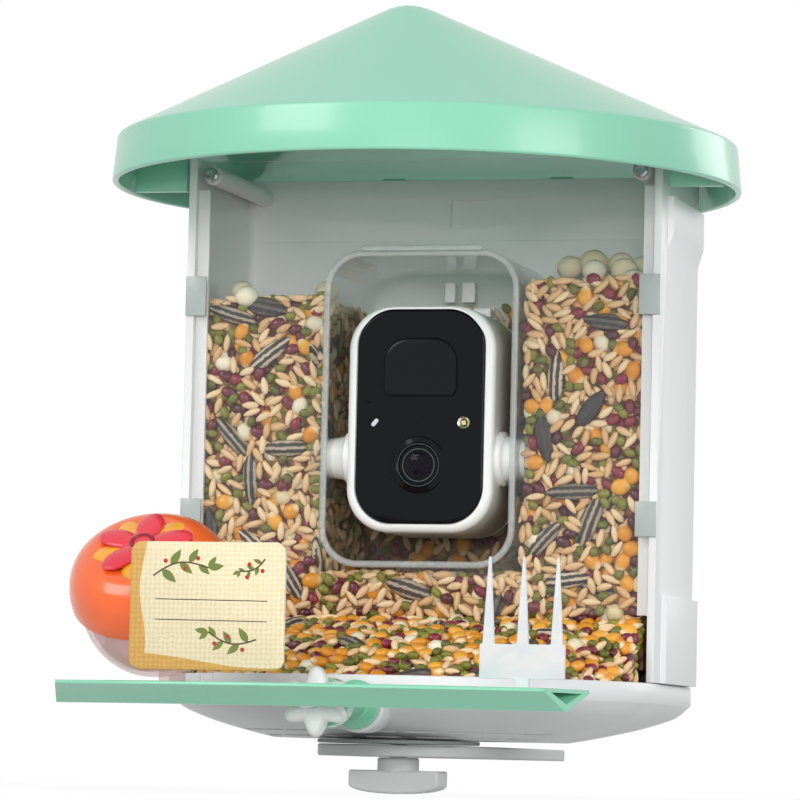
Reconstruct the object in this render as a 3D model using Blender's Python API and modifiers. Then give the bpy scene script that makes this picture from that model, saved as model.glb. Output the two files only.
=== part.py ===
"""Smart bird feeder: a seed hopper with a window, a camera that tilts in a pocket of the window,
a round roof that lifts on a rear hinge, a seed tray, a perch with three plug-in accessories and a
mounting plate held by a hand screw.

Frame: X is the width, with zero on the plane of symmetry. Y runs from the front, which is negative,
to the back, with zero on the front face of the hopper. Z is up, with zero under the mounting plate.
"""
import math

import bmesh
import bpy
from mathutils import Matrix, Vector

# Clearances shared by all pieces
GAP = 0.0003                 # between faces that touch
RUN = 0.0004                 # round a pin or a bolt that turns
OVER = 0.002                 # how far a cutter runs past what it cuts
ROUND_STEPS = 4              # points in a quarter turn of an outline
SMALL_SIDES = 12             # facets of a small hole or bar
ROUND_SIDES = 20             # facets of any other round bar
WIDE_SIDES = 28              # facets of a wide round form

# Hopper, the white box with an open front
HALF_WIDTH = 0.092
DEPTH = 0.076
WALL = 0.003
CORNER_RADIUS = 0.007
SIDES = ((-1, "left"), (1, "right"))
SEAM_Z = 0.029               # rim of the base, on which the hopper stands
HOPPER_TOP = 0.226
PAD_RISE = 0.0022            # raised pads on the two sides
PAD_FRONT = 0.011
TOP_PAD_LOW = 0.190
TOP_PAD_SLOPE = 0.007
TOP_PAD_HIGH = 0.211
LOW_PAD_HIGH = 0.062
LEDGE_WIDTH = 0.0045         # strips behind the window's side edges
LEDGE_DEPTH = 0.002
STEP_Z = 0.202               # top of the thicker field of the back wall
STEP_RISE = 0.0008
RECESS_HALF = 0.0075
RECESS_LOW = 0.207
RECESS_HIGH = 0.218
RECESS_DEPTH = 0.0014
CLIP_WIDTH = 0.005
CLIP_THICK = 0.0013
UPPER_CLIP_LOW = 0.1655
UPPER_CLIP_HIGH = 0.1805
LOWER_CLIP_LOW = 0.083
LOWER_CLIP_HIGH = 0.096

# Window, one clear moulding with the camera pocket
WINDOW_THICK = 0.0025
WINDOW_LOW = 0.054
WINDOW_HIGH = 0.2245
POCKET_HALF = 0.0375
POCKET_LOW = 0.071
POCKET_HIGH = 0.190
POCKET_RADIUS = 0.0145
POCKET_WALL = 0.0018
POCKET_REAR_ROOM = 0.007     # for seed, behind the pocket
POCKET_BACK = DEPTH - WALL - POCKET_REAR_ROOM
BROW_HALF = 0.0235           # raised lip over the pocket's mouth
BROW_HEIGHT = 0.002
BROW_RISE = 0.0015
SOCKET_RADIUS = 0.0125
SOCKET_REACH = 0.0055        # how far a pivot socket stands out of the pocket's side

# Window screws and the long tubes that they enter
SCREW_INSET = 0.0085         # from the hopper's side
SCREW_X = HALF_WIDTH - SCREW_INSET
SCREW_Z = 0.2195
SCREW_HEAD_RADIUS = 0.0028
SCREW_HEAD_THICK = 0.0014
SCREW_SHANK_RADIUS = 0.0012
SCREW_LENGTH = 0.012
SCREW_SLOT = 0.0007
SCREW_CROSS_SHARE = 0.6      # of the head's radius
TUBE_RADIUS = 0.0035
TUBE_FRONT_GAP = 0.0008

# Base, a shallow bowl that carries the hopper and ends in the feeding tray
TRAY_REACH = 0.0755
BASE_WALL = 0.0024
BAND_LOW_Z = 0.022
BOWL_LEVELS = ((0.0065, 0.040), (0.0088, 0.030), (0.0125, 0.017), (0.0170, 0.006), (BAND_LOW_Z, 0.0))
SLOT_LENGTH = 0.0135
SLOT_WIDTH = 0.0018
SLOT_ROWS = ((0.029, 9), (0.037, 7))        # inset from the rim, and count
SLOT_SPREAD = math.radians(118)
ARM_BOSS_RADIUS = 0.0100
ARM_BOSS_FRONT = TRAY_REACH + 0.0005
ARM_BOSS_LENGTH = 0.0150
ARM_BOSS_BORE_DEPTH = 0.0110

# Mounting plate, pad, bolt and hand screw
BOLT_Y = -0.017
BOLT_RADIUS = 0.003
BOLT_TOP = 0.0190
PAD_RADIUS = 0.030
PLATE_THICK = 0.0044
PAD_THICK = 0.0014
PLATE_HALF = 0.033
PLATE_ROUND_Y = -0.0055
PLATE_OVERHANG = 0.040       # of the plate behind the hopper
PLATE_BACK = DEPTH + PLATE_OVERHANG
PLATE_HOLE_RADIUS = 0.0025
PLATE_HOLE_X = 0.022
PLATE_HOLE_Y_SHARES = (0.62, 0.88)
NUT_FLATS = 0.010
NUT_THICK = 0.005
NUT_LOW = 0.0125
NUT_BOSS_RADIUS = 0.0095
KNOB_NECK_RADIUS = 0.0077
KNOB_NECK_HEIGHT = 0.0047
KNOB_BAR_HALF = 0.017
KNOB_BAR_HALF_DEPTH = 0.0055
KNOB_BAR_HEIGHT = 0.0070
KNOB_BAR_BELLY = 0.0016
KNOB_BOLT_SEAT = 0.0080
KNOB_BELLY_STEPS = 6

# Roof, an oblique cone with a turned-down rim, hinged at the back
ROOF_RADIUS = 0.1185
ROOF_CENTRE_Y = 0.006
ROOF_LIP_Z = 0.213
ROOF_RIM_Z = 0.2310
ROOF_APEX_Y = -0.027
ROOF_APEX_Z = 0.2805
ROOF_THICK = 0.0024
ROOF_RIM_TAPER = 0.0015
ROOF_EDGE_ROUND = 0.0016
ROOF_SEGMENTS = 48
ROOF_CONE_SHARES = (0.0, 0.90, 0.955)
ROOF_TIP_SHARE = 0.978
ROOF_TIP_RADIUS = 0.0022
HINGE_STANDOFF = 0.007       # of the pins behind the hopper's back
HINGE_Y = DEPTH + HINGE_STANDOFF
HINGE_Z = 0.218
HINGE_X = 0.034
HINGE_PIN_RADIUS = 0.0015
HINGE_BARREL_RADIUS = 0.0038
HINGE_BARREL_HALF = 0.005
HINGE_STEM_HALF = 0.0044
HINGE_EAR_THICK = 0.003
LUG_THICK = 0.003
LUG_Y = 0.004
LUG_BOSS_RADIUS = 0.003
LUG_BOSS_HEIGHT = 0.0015

# Camera, which tilts on two pivots in the pocket
PIVOT_Y = WINDOW_THICK + SOCKET_RADIUS + 2 * GAP
PIVOT_Z = 0.1125
PIVOT_DISC_THICK = 0.0026
PIVOT_STUB_RADIUS = 0.0085
PIVOT_STUB_OUT = 0.0392
PIVOT_STUB_TIP_SHARE = 0.85
BUSH_RADIUS = 0.0043
BUSH_IN = 0.0330
BUSH_FLANGE = 0.0014
BUSH_FLANGE_RADIUS = 0.0062
CAMERA_HALF = 0.0285
CAMERA_LOW = 0.0840
CAMERA_HIGH = 0.1695
CAMERA_RADIUS = 0.0165
CAMERA_FRONT = 0.003
CAMERA_BACK = 0.046
CAMERA_WALL = 0.0022
CAMERA_EDGE = 0.003
CAMERA_BACK_EDGE = 0.0024
CAMERA_CAVITY_SHARES = 2       # the shell is two walls thick round its cavity
BACK_COVER_THICK = 0.003
GLASS_HALF = 0.0245
GLASS_LOW = 0.0873
GLASS_HIGH = 0.1682
GLASS_RADIUS = 0.0140
GLASS_THICK = 0.0020
GLASS_EDGE = 0.0007
PIR_HALF = 0.0142
PIR_LOW = 0.1351
PIR_HIGH = 0.1573
PIR_RADIUS = 0.0032
PIR_ARCH_RADIUS = 0.0095
PIR_THICK = 0.0016
LENS_Z = 0.1093
LENS_RING_RADIUS = 0.0108
LENS_BARREL_RADIUS = 0.0080
LENS_GLASS_RADIUS = 0.0062
LENS_DOME = 0.0018
LENS_SEAT = 0.004
SENSOR_FRONT = 0.0095
SENSOR_RADIUS = 0.0046
SPOT_X = 0.0172
SPOT_Z = 0.1252
SPOT_RADIUS = 0.0023
PILL_X = -0.0172
PILL_HALF = 0.0008
PILL_LENGTH = 0.0034
PILL_TILT = math.radians(22)
BOARD_HALF = 0.019
BOARD_LOW = 0.0935
BOARD_HIGH = 0.1585
BOARD_THICK = 0.0016
CELL_RADIUS = 0.0092
CELL_LENGTH = 0.065
CELL_X = 0.0112
CELL_Y = 0.0316
CELL_LOW = 0.093
BOARD_Y = CELL_Y - CELL_RADIUS - GAP - BOARD_THICK
CRADLE_HALF = 0.018
CRADLE_LOW = 0.108
CRADLE_TOP = 0.1690
CRADLE_THICK = 0.0026
CRADLE_TAB_HIGH = 0.1730
CRADLE_TAB_SHARES = ((-0.95, -0.45), (-0.15, 0.40), (0.55, 0.95))
BLOCK_SPANS = ((-0.0066, -0.0024), (0.0002, 0.0056))
BLOCK_LOW = 0.1765
BLOCK_HIGH = 0.1845
BLOCK_THICK = 0.0022
BUTTON_X = 0.014
BUTTON_Z = 0.096
BUTTON_RADIUS = 0.0035
BUTTON_STAND = 0.0011
BUTTON_EDGE = 0.0005
FLAP_HALF = 0.0075
FLAP_LOW = 0.0925
FLAP_HIGH = 0.0995
FLAP_THICK = 0.0014
FLAP_RADIUS = 0.0018
PORT_X = -0.009
PORT_HALF = 0.0045
PORT_HEIGHT = 0.0026

# Perch, a hollow triangular bar on an arc, on one arm
PERCH_Y = -0.150
PERCH_ARC_RADIUS = 0.234
PERCH_ARC_HALF_ANGLE = math.radians(27)
PERCH_STEPS = 20
PERCH_HOLLOW_SHARE = 1.1       # the hollow runs out through both ends
PERCH_TOP = 0.0240
PERCH_BOTTOM = 0.0163
PERCH_HALF_TOP = 0.0125
PERCH_HALF_FOOT = 0.0012
PERCH_WALL = 0.0014
PERCH_SKIRT_SHARE = 2.7          # sideways room that one wall takes on the slanted skirts
PERCH_END_FRONT_X = 0.0850
PERCH_END_BACK_X = 0.0940
ARM_Z = 0.0182
ARM_RADIUS = 0.0045
ARM_FLANGE_RADIUS = 0.0088
ARM_FLANGE_THICK = 0.003
HUB_RADIUS = 0.0087
HUB_LENGTH = 0.008
HUB_FRONT = 0.1190
STUD_RADIUS = 0.0025
STUD_FRONT = 0.1455
STUD_BACK = 0.0980
PERCH_SOCKET_RADIUS = 0.0042
PERCH_SOCKET_BACK = 0.1345
STAR_FRONT = 0.1335
STAR_BACK = 0.1240
STAR_MEAN_RADIUS = 0.0101
STAR_LOBE = 0.0021
STAR_LOBES = 6
STAR_POINTS = 36
STAR_EDGE = 0.0012

# Accessories that plug into the top of the perch
PLUG_DEPTH = 0.002
PLUG_THICK = 0.0024
SIGN_Y = -0.1560
SIGN_LEFT = -0.0593
SIGN_RIGHT = -0.0038
SIGN_LOW = 0.0278
SIGN_HIGH = 0.0718
SIGN_RADIUS = 0.004
SIGN_THICK = 0.002
SIGN_STEM_X = -0.0320
SIGN_STEM_HALF = 0.0022
SIGN_STEM_OVERLAP = 0.010
FORK_Y = -0.1405
FORK_X = 0.0757
FORK_HALF = 0.0149
FORK_LOW = 0.0270
FORK_SHOULDER = 0.0388
FORK_TIP = 0.0686
FORK_THICK = 0.0022
FORK_STEM_HALF = 0.0025
FORK_TINE_HALF = 0.0020
FORK_TIP_HALF = 0.0003
FORK_TINE_SHARES = (-0.80, 0.0, 0.80)
BALL_X = -0.0612             # middle of the brim, where bowl and lid meet
BALL_Y = -0.1268
BALL_Z = 0.0565
BALL_LEAN = math.radians(40)  # the feeder's axis leans to the front
BALL_WALL = 0.0018
BALL_STEPS = 20
BOWL_RADIUS = 0.0262
BOWL_DEPTH = 0.0322
LID_RADIUS = 0.0290
LID_HEIGHT = 0.0185
LID_WALL = LID_RADIUS - BOWL_RADIUS - GAP      # the lid's skirt sits round the bowl's brim
LID_SHARES = ((1.0, 0.0), (0.985, 0.30), (0.90, 0.66), (0.74, 0.90), (0.56, 1.0), (0.40, 0.95),
              (0.28, 0.87))    # of the lid's radius and height, from its brim to the dish
FLOWER_PETALS = 5
FLOWER_PETAL_REACH = 0.0172
FLOWER_PETAL_HALF = 0.0052
FLOWER_THICK = 0.0022
FLOWER_CORE_RADIUS = 0.0058
FLOWER_CORE_TIP = 0.0040
FLOWER_CORE_HEIGHT = 0.0042
FLOWER_RISE = 0.0036         # the petals lie on the crest round the dish
FOOT_X = -0.0500
FOOT_HALF = 0.0045
FOOT_Y = -0.1370
FOOT_SEAT_STEPS = 12

# Seed that fills the hopper and slopes out over the tray
SEED_SIDE_ROOM = 0.0055      # for the ledges and the screw tubes
SEED_HALF = HALF_WIDTH - WALL - SEED_SIDE_ROOM
SEED_LEVEL = 0.1775
SEED_TRAY_MARGIN = 0.0046
SEED_BOWL_MARGIN = 0.0006
SEED_LIP = 0.0008


def hex_colour(code):
    """Turn an sRGB hex code into the linear values that a shader takes."""
    channels = [int(code[i:i + 2], 16) / 255 for i in (0, 2, 4)]
    return [c / 12.92 if c <= 0.04045 else ((c + 0.055) / 1.055) ** 2.4 for c in channels] + [1.0]


def material(name, code, roughness, metallic=0.0, transmission=0.0):
    mat = bpy.data.materials.new(name)
    mat.use_nodes = True
    shader = mat.node_tree.nodes["Principled BSDF"]
    shader.inputs["Base Color"].default_value = hex_colour(code)
    shader.inputs["Roughness"].default_value = roughness
    shader.inputs["Metallic"].default_value = metallic
    shader.inputs["Transmission Weight"].default_value = transmission
    return mat


for old in list(bpy.data.objects):
    bpy.data.objects.remove(old, do_unlink=True)

PARTS = bpy.data.collections.new("smart_bird_feeder")
CUTTERS = bpy.data.collections.new("cutters")
bpy.context.scene.collection.children.link(PARTS)
bpy.context.scene.collection.children.link(CUTTERS)

WHITE = material("white_abs", "F0F0F0", 0.4)
GREEN = material("mint_abs", "A6DFC8", 0.35)
CLEAR = material("clear_pc", "EEF4F2", 0.05, transmission=1.0)
BLACK = material("black_glass", "15181B", 0.08)
DARK = material("dark_abs", "22262A", 0.35)
STEEL = material("zinc_steel", "B9BCC0", 0.3, metallic=1.0)
GREY = material("grey_abs", "D5D6D6", 0.45)
SEED = material("seed_mix", "C99A5B", 0.7)
RUBBER = material("grey_tpr", "8A8D90", 0.7)
CIRCUIT = material("fr4_board", "1F5B3A", 0.5)
CELL_WRAP = material("cell_sleeve", "3A6EA5", 0.4)
LINEN = material("sign_board", "EADBB4", 0.6)
FROSTED = material("frosted_pp", "E3E6EA", 0.35, transmission=0.5)
ORANGE = material("orange_pp", "F26A25", 0.3)
PETAL = material("red_pp", "E8304A", 0.35)
PINK_CLEAR = material("pink_clear_pet", "F6DCD8", 0.08, transmission=1.0)


def place(name, mesh, mat, matrix=None, smooth_deg=35):
    """Make a named object from a mesh, shaded smooth over its round faces."""
    mesh.shade_smooth()
    mesh.set_sharp_from_angle(angle=math.radians(smooth_deg))
    obj = bpy.data.objects.new(name, mesh)
    obj.matrix_world = matrix or Matrix()
    if mat is not None:
        mesh.materials.append(mat)
    PARTS.objects.link(obj)
    return obj


def mesh_from(bm, name):
    bmesh.ops.recalc_face_normals(bm, faces=bm.faces)
    mesh = bpy.data.meshes.new(name)
    bm.to_mesh(mesh)
    bm.free()
    return mesh


def block(name, low, high, mat=None, edge=0.0):
    """A box between two corners, with its edges rounded if asked."""
    low, high = Vector(low), Vector(high)
    bm = bmesh.new()
    bmesh.ops.create_cube(bm, size=1)
    bmesh.ops.scale(bm, vec=high - low, verts=bm.verts)
    obj = place(name, mesh_from(bm, name), mat, Matrix.Translation((low + high) / 2))
    if edge:
        soften(obj, edge)
    return obj


def soften(obj, width, segments=2, limit_deg=40):
    bevel = obj.modifiers.new("edges", "BEVEL")
    bevel.width = width
    bevel.segments = segments
    bevel.limit_method = "ANGLE"
    bevel.angle_limit = math.radians(limit_deg)
    return obj


def rod(name, start, end, radius, mat=None, sides=ROUND_SIDES, end_radius=None):
    """A round bar or a cone from one point to another."""
    start, end = Vector(start), Vector(end)
    axis = end - start
    bm = bmesh.new()
    bmesh.ops.create_cone(
        bm, cap_ends=True, segments=sides, radius1=radius,
        radius2=radius if end_radius is None else end_radius, depth=axis.length)
    turn = axis.to_track_quat("Z", "Y").to_matrix().to_4x4()
    return place(name, mesh_from(bm, name), mat, Matrix.Translation((start + end) / 2) @ turn)


def turned(name, profile, mat=None, origin=(0, 0, 0), along="Z", steps=ROUND_SIDES):
    """A turned shape. The profile holds (radius, height) down its outer side."""
    mesh = bpy.data.meshes.new(name)
    edges = [(i, i + 1) for i in range(len(profile) - 1)]
    if profile[0][0] > 0:
        edges.append((len(profile) - 1, 0))
    mesh.from_pydata([(r, 0, z) for r, z in profile], edges, [])
    turn = {"Z": Matrix(), "-Y": Matrix.Rotation(math.radians(90), 4, "X"),
            "X": Matrix.Rotation(math.radians(90), 4, "Y")}[along]
    obj = place(name, mesh, mat, Matrix.Translation(origin) @ turn)
    screw = obj.modifiers.new("turn", "SCREW")
    screw.steps = screw.render_steps = steps
    screw.use_merge_vertices = True
    screw.merge_threshold = 0.00001
    screw.use_smooth_shade = True
    return obj


def slab(name, outline, low, high, mat=None, plane="XY"):
    """A flat outline given a thickness. The plane names the outline's two axes."""
    curve = bpy.data.curves.new(name, "CURVE")
    curve.dimensions = "2D"
    curve.fill_mode = "BOTH"
    curve.extrude = (high - low) / 2
    spline = curve.splines.new("POLY")
    spline.points.add(len(outline) - 1)
    for point, (a, b) in zip(spline.points, outline):
        point.co = (a, b, 0, 1)
    spline.use_cyclic_u = True
    middle = (low + high) / 2
    frame = {
        "XY": Matrix.Translation((0, 0, middle)),
        "XZ": Matrix.Translation((0, middle, 0)) @ Matrix.Rotation(math.radians(90), 4, "X"),
        "YZ": Matrix.Translation((middle, 0, 0)) @ Matrix(
            ((0, 0, 1, 0), (1, 0, 0, 0), (0, 1, 0, 0), (0, 0, 0, 1))),
    }[plane]
    source = bpy.data.objects.new(name + "_curve", curve)
    PARTS.objects.link(source)
    depsgraph = bpy.context.evaluated_depsgraph_get()
    mesh = bpy.data.meshes.new_from_object(source.evaluated_get(depsgraph))
    bpy.data.objects.remove(source, do_unlink=True)
    bm = bmesh.new()
    bm.from_mesh(mesh)
    bmesh.ops.remove_doubles(bm, verts=bm.verts, dist=0.000001)
    bpy.data.meshes.remove(mesh)
    return place(name, mesh_from(bm, name), mat, frame)


def loft(name, rings, mat=None):
    """Skin a row of rings that have as many points each, and close the two ends."""
    bm = bmesh.new()
    loops = [[bm.verts.new(point) for point in ring] for ring in rings]
    for lower, upper in zip(loops, loops[1:]):
        for i in range(len(lower)):
            j = (i + 1) % len(lower)
            bm.faces.new((lower[i], lower[j], upper[j], upper[i]))
    bm.faces.new(loops[0])
    bm.faces.new(loops[-1])
    return place(name, mesh_from(bm, name), mat)


def combine(target, tool, operation):
    """Cut the target with the tool, join it to it, or keep what they share."""
    mod = target.modifiers.new(operation.lower(), "BOOLEAN")
    mod.operation = operation
    mod.solver = "EXACT"
    mod.object = tool
    PARTS.objects.unlink(tool)
    CUTTERS.objects.link(tool)
    tool.parent = target
    tool.matrix_parent_inverse = target.matrix_world.inverted()
    tool.hide_render = True
    tool.display_type = "WIRE"
    return target


def cut(target, *tools):
    for tool in tools:
        combine(target, tool, "DIFFERENCE")
    return target


def join(target, *tools):
    for tool in tools:
        combine(target, tool, "UNION")
    return target


def arc(centre_a, centre_b, radius, start_deg, end_deg, steps=ROUND_STEPS):
    """Points along an arc, its two ends included."""
    points = []
    for i in range(steps + 1):
        angle = math.radians(start_deg + (end_deg - start_deg) * i / steps)
        points.append((centre_a + radius * math.cos(angle), centre_b + radius * math.sin(angle)))
    return points


def rounded_rectangle(left, right, low, high, radius, steps=ROUND_STEPS):
    return (arc(right - radius, high - radius, radius, 0, 90, steps)
            + arc(left + radius, high - radius, radius, 90, 180, steps)
            + arc(left + radius, low + radius, radius, 180, 270, steps)
            + arc(right - radius, low + radius, radius, 270, 360, steps))


def stadium(half_length, half_width, steps=3):
    """Outline of a slot with round ends."""
    straight = half_length - half_width
    return (arc(straight, 0, half_width, -90, 90, steps)
            + arc(-straight, 0, half_width, 90, 270, steps))


def base_plan(inset):
    """Outline of the base seen from above, drawn in by an inset: a box with a bowed front."""
    half = HALF_WIDTH - inset
    back = DEPTH - inset
    front = TRAY_REACH - inset
    points = arc(half - CORNER_RADIUS, back - CORNER_RADIUS, CORNER_RADIUS, 0, 90)
    points += arc(CORNER_RADIUS - half, back - CORNER_RADIUS, CORNER_RADIUS, 90, 180)
    bow_steps = ROUND_STEPS * 6
    for i in range(bow_steps + 1):
        angle = math.pi + math.pi * i / bow_steps
        points.append((half * math.cos(angle), front * math.sin(angle)))
    return points


def base_rings(levels, inset=0.0, rise=0.0):
    return [[(x, y, z + rise) for x, y in base_plan(drawn_in + inset)] for z, drawn_in in levels]


def make_base():
    """White bowl with a rim, drain slots and the bosses for the perch arm and the mounting bolt."""
    outer = base_rings(BOWL_LEVELS + ((SEAM_Z, 0.0),))
    inner = base_rings(BOWL_LEVELS[:-1], BASE_WALL, BASE_WALL)
    rim = [[(x, y, SEAM_Z) for x, y in base_plan(BASE_WALL)]]
    tray = loft("base_tray", outer + rim + inner[::-1], WHITE)
    arm_boss = rod("arm_boss", (0, -ARM_BOSS_FRONT, ARM_Z),
                   (0, ARM_BOSS_LENGTH - ARM_BOSS_FRONT, ARM_Z), ARM_BOSS_RADIUS)
    nut_boss = rod("nut_boss", (0, BOLT_Y, BOWL_LEVELS[0][0] + BASE_WALL / 2),
                   (0, BOLT_Y, BOLT_TOP + BASE_WALL), NUT_BOSS_RADIUS)
    join(tray, arm_boss, nut_boss)
    cut(tray, rod("arm_bore", (0, -ARM_BOSS_FRONT - OVER, ARM_Z),
                  (0, ARM_BOSS_BORE_DEPTH - ARM_BOSS_FRONT, ARM_Z), ARM_RADIUS + GAP))
    cut(tray, rod("bolt_bore", (0, BOLT_Y, 0), (0, BOLT_Y, BOLT_TOP + GAP), BOLT_RADIUS + RUN))
    cut(tray, rod("nut_recess", (0, BOLT_Y, NUT_LOW - GAP), (0, BOLT_Y, NUT_LOW + NUT_THICK + GAP),
                  NUT_FLATS / math.sqrt(3) + GAP, sides=6))
    for row, (inset, count) in enumerate(SLOT_ROWS):
        for i in range(count):
            angle = -math.pi / 2 + SLOT_SPREAD * (i / (count - 1) - 0.5)
            x = (HALF_WIDTH - inset) * math.cos(angle)
            y = (TRAY_REACH - inset) * math.sin(angle)
            heading = math.atan2((TRAY_REACH - inset) * math.cos(angle),
                                 -(HALF_WIDTH - inset) * math.sin(angle))
            slot = slab(f"drain_slot_{row}_{i}", stadium(SLOT_LENGTH / 2, SLOT_WIDTH / 2), 0, BAND_LOW_Z)
            slot.matrix_world = (Matrix.Translation((x, y, BAND_LOW_Z / 2))
                                 @ Matrix.Rotation(heading, 4, "Z"))
            cut(tray, slot)
    return tray


def make_hopper():
    """White box, open at the front, the top and the foot, with hinge ears at the back."""
    inner_half = HALF_WIDTH - WALL
    inner_radius = CORNER_RADIUS - WALL
    outline = [(HALF_WIDTH, 0)]
    outline += arc(HALF_WIDTH - CORNER_RADIUS, DEPTH - CORNER_RADIUS, CORNER_RADIUS, 0, 90)
    outline += arc(CORNER_RADIUS - HALF_WIDTH, DEPTH - CORNER_RADIUS, CORNER_RADIUS, 90, 180)
    outline += [(-HALF_WIDTH, 0), (-inner_half, 0)]
    outline += arc(CORNER_RADIUS - HALF_WIDTH, DEPTH - CORNER_RADIUS, inner_radius, 180, 90)
    outline += arc(HALF_WIDTH - CORNER_RADIUS, DEPTH - CORNER_RADIUS, inner_radius, 90, 0)
    outline += [(inner_half, 0)]
    shell = slab("hopper_shell", outline, SEAM_Z + GAP, HOPPER_TOP, WHITE)
    pad_back = DEPTH - CORNER_RADIUS
    window_back = GAP + WINDOW_THICK
    for side in (-1, 1):
        sunk = HALF_WIDTH - WALL / 2
        proud = HALF_WIDTH + PAD_RISE
        top_outline = [(side * sunk, TOP_PAD_LOW), (side * HALF_WIDTH, TOP_PAD_LOW),
                       (side * proud, TOP_PAD_LOW + TOP_PAD_SLOPE),
                       (side * proud, TOP_PAD_HIGH), (side * sunk, TOP_PAD_HIGH)]
        join(shell, slab(f"top_pad_{side}", top_outline, PAD_FRONT, pad_back, plane="XZ"))
        x_low, x_high = sorted((side * sunk, side * proud))
        join(shell, block(f"low_pad_{side}", (x_low, PAD_FRONT, SEAM_Z + GAP),
                          (x_high, pad_back, LOW_PAD_HIGH)))
        x_low, x_high = sorted((side * sunk, side * (inner_half - LEDGE_WIDTH)))
        join(shell, block(f"ledge_{side}", (x_low, window_back + GAP, WINDOW_LOW),
                          (x_high, window_back + GAP + LEDGE_DEPTH, SCREW_Z - TUBE_RADIUS - OVER)))
        for spot, (clip_low, clip_high) in enumerate(((UPPER_CLIP_LOW, UPPER_CLIP_HIGH),
                                                      (LOWER_CLIP_LOW, LOWER_CLIP_HIGH))):
            x_low, x_high = sorted((side * HALF_WIDTH, side * (inner_half - CLIP_WIDTH)))
            join(shell, block(f"clip_{side}_{spot}", (x_low, -CLIP_THICK, clip_low),
                              (x_high, 0, clip_high)))
            x_low, x_high = sorted((side * HALF_WIDTH, side * sunk))
            join(shell, block(f"clip_root_{side}_{spot}", (x_low, -CLIP_THICK, clip_low),
                              (x_high, WALL, clip_high)))
        tube_start = GAP + WINDOW_THICK + TUBE_FRONT_GAP
        join(shell, rod(f"screw_tube_{side}", (side * SCREW_X, tube_start, SCREW_Z),
                        (side * SCREW_X, DEPTH - WALL / 2, SCREW_Z), TUBE_RADIUS))
        cut(shell, rod(f"screw_hole_{side}", (side * SCREW_X, 0, SCREW_Z),
                       (side * SCREW_X, SCREW_LENGTH + OVER, SCREW_Z), SCREW_SHANK_RADIUS + GAP,
                       sides=SMALL_SIDES))
        hinge_x = side * HINGE_X
        for ear_side in (-1, 1):
            ear_middle = hinge_x + ear_side * (HINGE_BARREL_HALF + GAP + HINGE_EAR_THICK / 2)
            reach = arc(HINGE_Y, HINGE_Z, HINGE_BARREL_RADIUS, -90, 90)
            ear_outline = [(DEPTH - WALL / 2, HINGE_Z - HINGE_BARREL_RADIUS * 2)] + reach
            ear_outline += [(DEPTH - WALL / 2, HINGE_Z + HINGE_BARREL_RADIUS)]
            join(shell, slab(f"ear_{side}_{ear_side}", ear_outline, ear_middle - HINGE_EAR_THICK / 2,
                             ear_middle + HINGE_EAR_THICK / 2, plane="YZ"))
        bore_half = HINGE_BARREL_HALF + HINGE_EAR_THICK + OVER
        cut(shell, rod(f"ear_bore_{side}", (hinge_x - bore_half, HINGE_Y, HINGE_Z),
                       (hinge_x + bore_half, HINGE_Y, HINGE_Z), HINGE_PIN_RADIUS + GAP,
                       sides=SMALL_SIDES))
    inner_back = DEPTH - WALL
    field_half = inner_half - CORNER_RADIUS
    join(shell, block("back_field", (-field_half, inner_back - STEP_RISE, LOW_PAD_HIGH),
                      (field_half, DEPTH - WALL / 2, STEP_Z)))
    cut(shell, block("recess", (-RECESS_HALF, inner_back - OVER, RECESS_LOW),
                     (RECESS_HALF, inner_back + RECESS_DEPTH, RECESS_HIGH)))
    return shell


def pocket_form(name, grow, front, back):
    """Solid of the camera pocket, grown by an amount, with its two pivot sockets."""
    form = slab(name, rounded_rectangle(-POCKET_HALF - grow, POCKET_HALF + grow, POCKET_LOW - grow,
                                        POCKET_HIGH + grow, POCKET_RADIUS + grow),
                front, back, plane="XZ")
    for side in (-1, 1):
        socket = rod(f"{name}_socket_{side}", (side * (POCKET_HALF / 2), PIVOT_Y, PIVOT_Z),
                     (side * (POCKET_HALF + SOCKET_REACH + grow), PIVOT_Y, PIVOT_Z),
                     SOCKET_RADIUS + grow, sides=WIDE_SIDES)
        join(form, socket)
    return form


def make_window():
    """Clear front panel, with the pocket that the camera sits in."""
    side = HALF_WIDTH - WALL - GAP
    front = GAP
    panel = block("front_window", (-side, front, WINDOW_LOW), (side, front + WINDOW_THICK, WINDOW_HIGH),
                  CLEAR)
    join(panel, pocket_form("pocket_outer", 0.0, front, POCKET_BACK))
    join(panel, block("brow", (-BROW_HALF, -BROW_RISE, POCKET_HIGH),
                      (BROW_HALF, front + WINDOW_THICK / 2, POCKET_HIGH + BROW_HEIGHT)))
    cut(panel, pocket_form("pocket_inner", -POCKET_WALL, -OVER, POCKET_BACK - POCKET_WALL))
    for end in (-1, 1):
        cut(panel, rod(f"window_screw_hole_{end}", (end * SCREW_X, -OVER, SCREW_Z),
                       (end * SCREW_X, WINDOW_THICK + OVER, SCREW_Z), SCREW_SHANK_RADIUS + GAP,
                       sides=SMALL_SIDES))
        start = end * (POCKET_HALF + SOCKET_REACH / 2)
        cut(panel, rod(f"bush_hole_{end}", (start - end * POCKET_WALL, PIVOT_Y, PIVOT_Z),
                       (end * (POCKET_HALF + SOCKET_REACH + OVER), PIVOT_Y, PIVOT_Z),
                       BUSH_RADIUS + GAP))
    return panel


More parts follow.
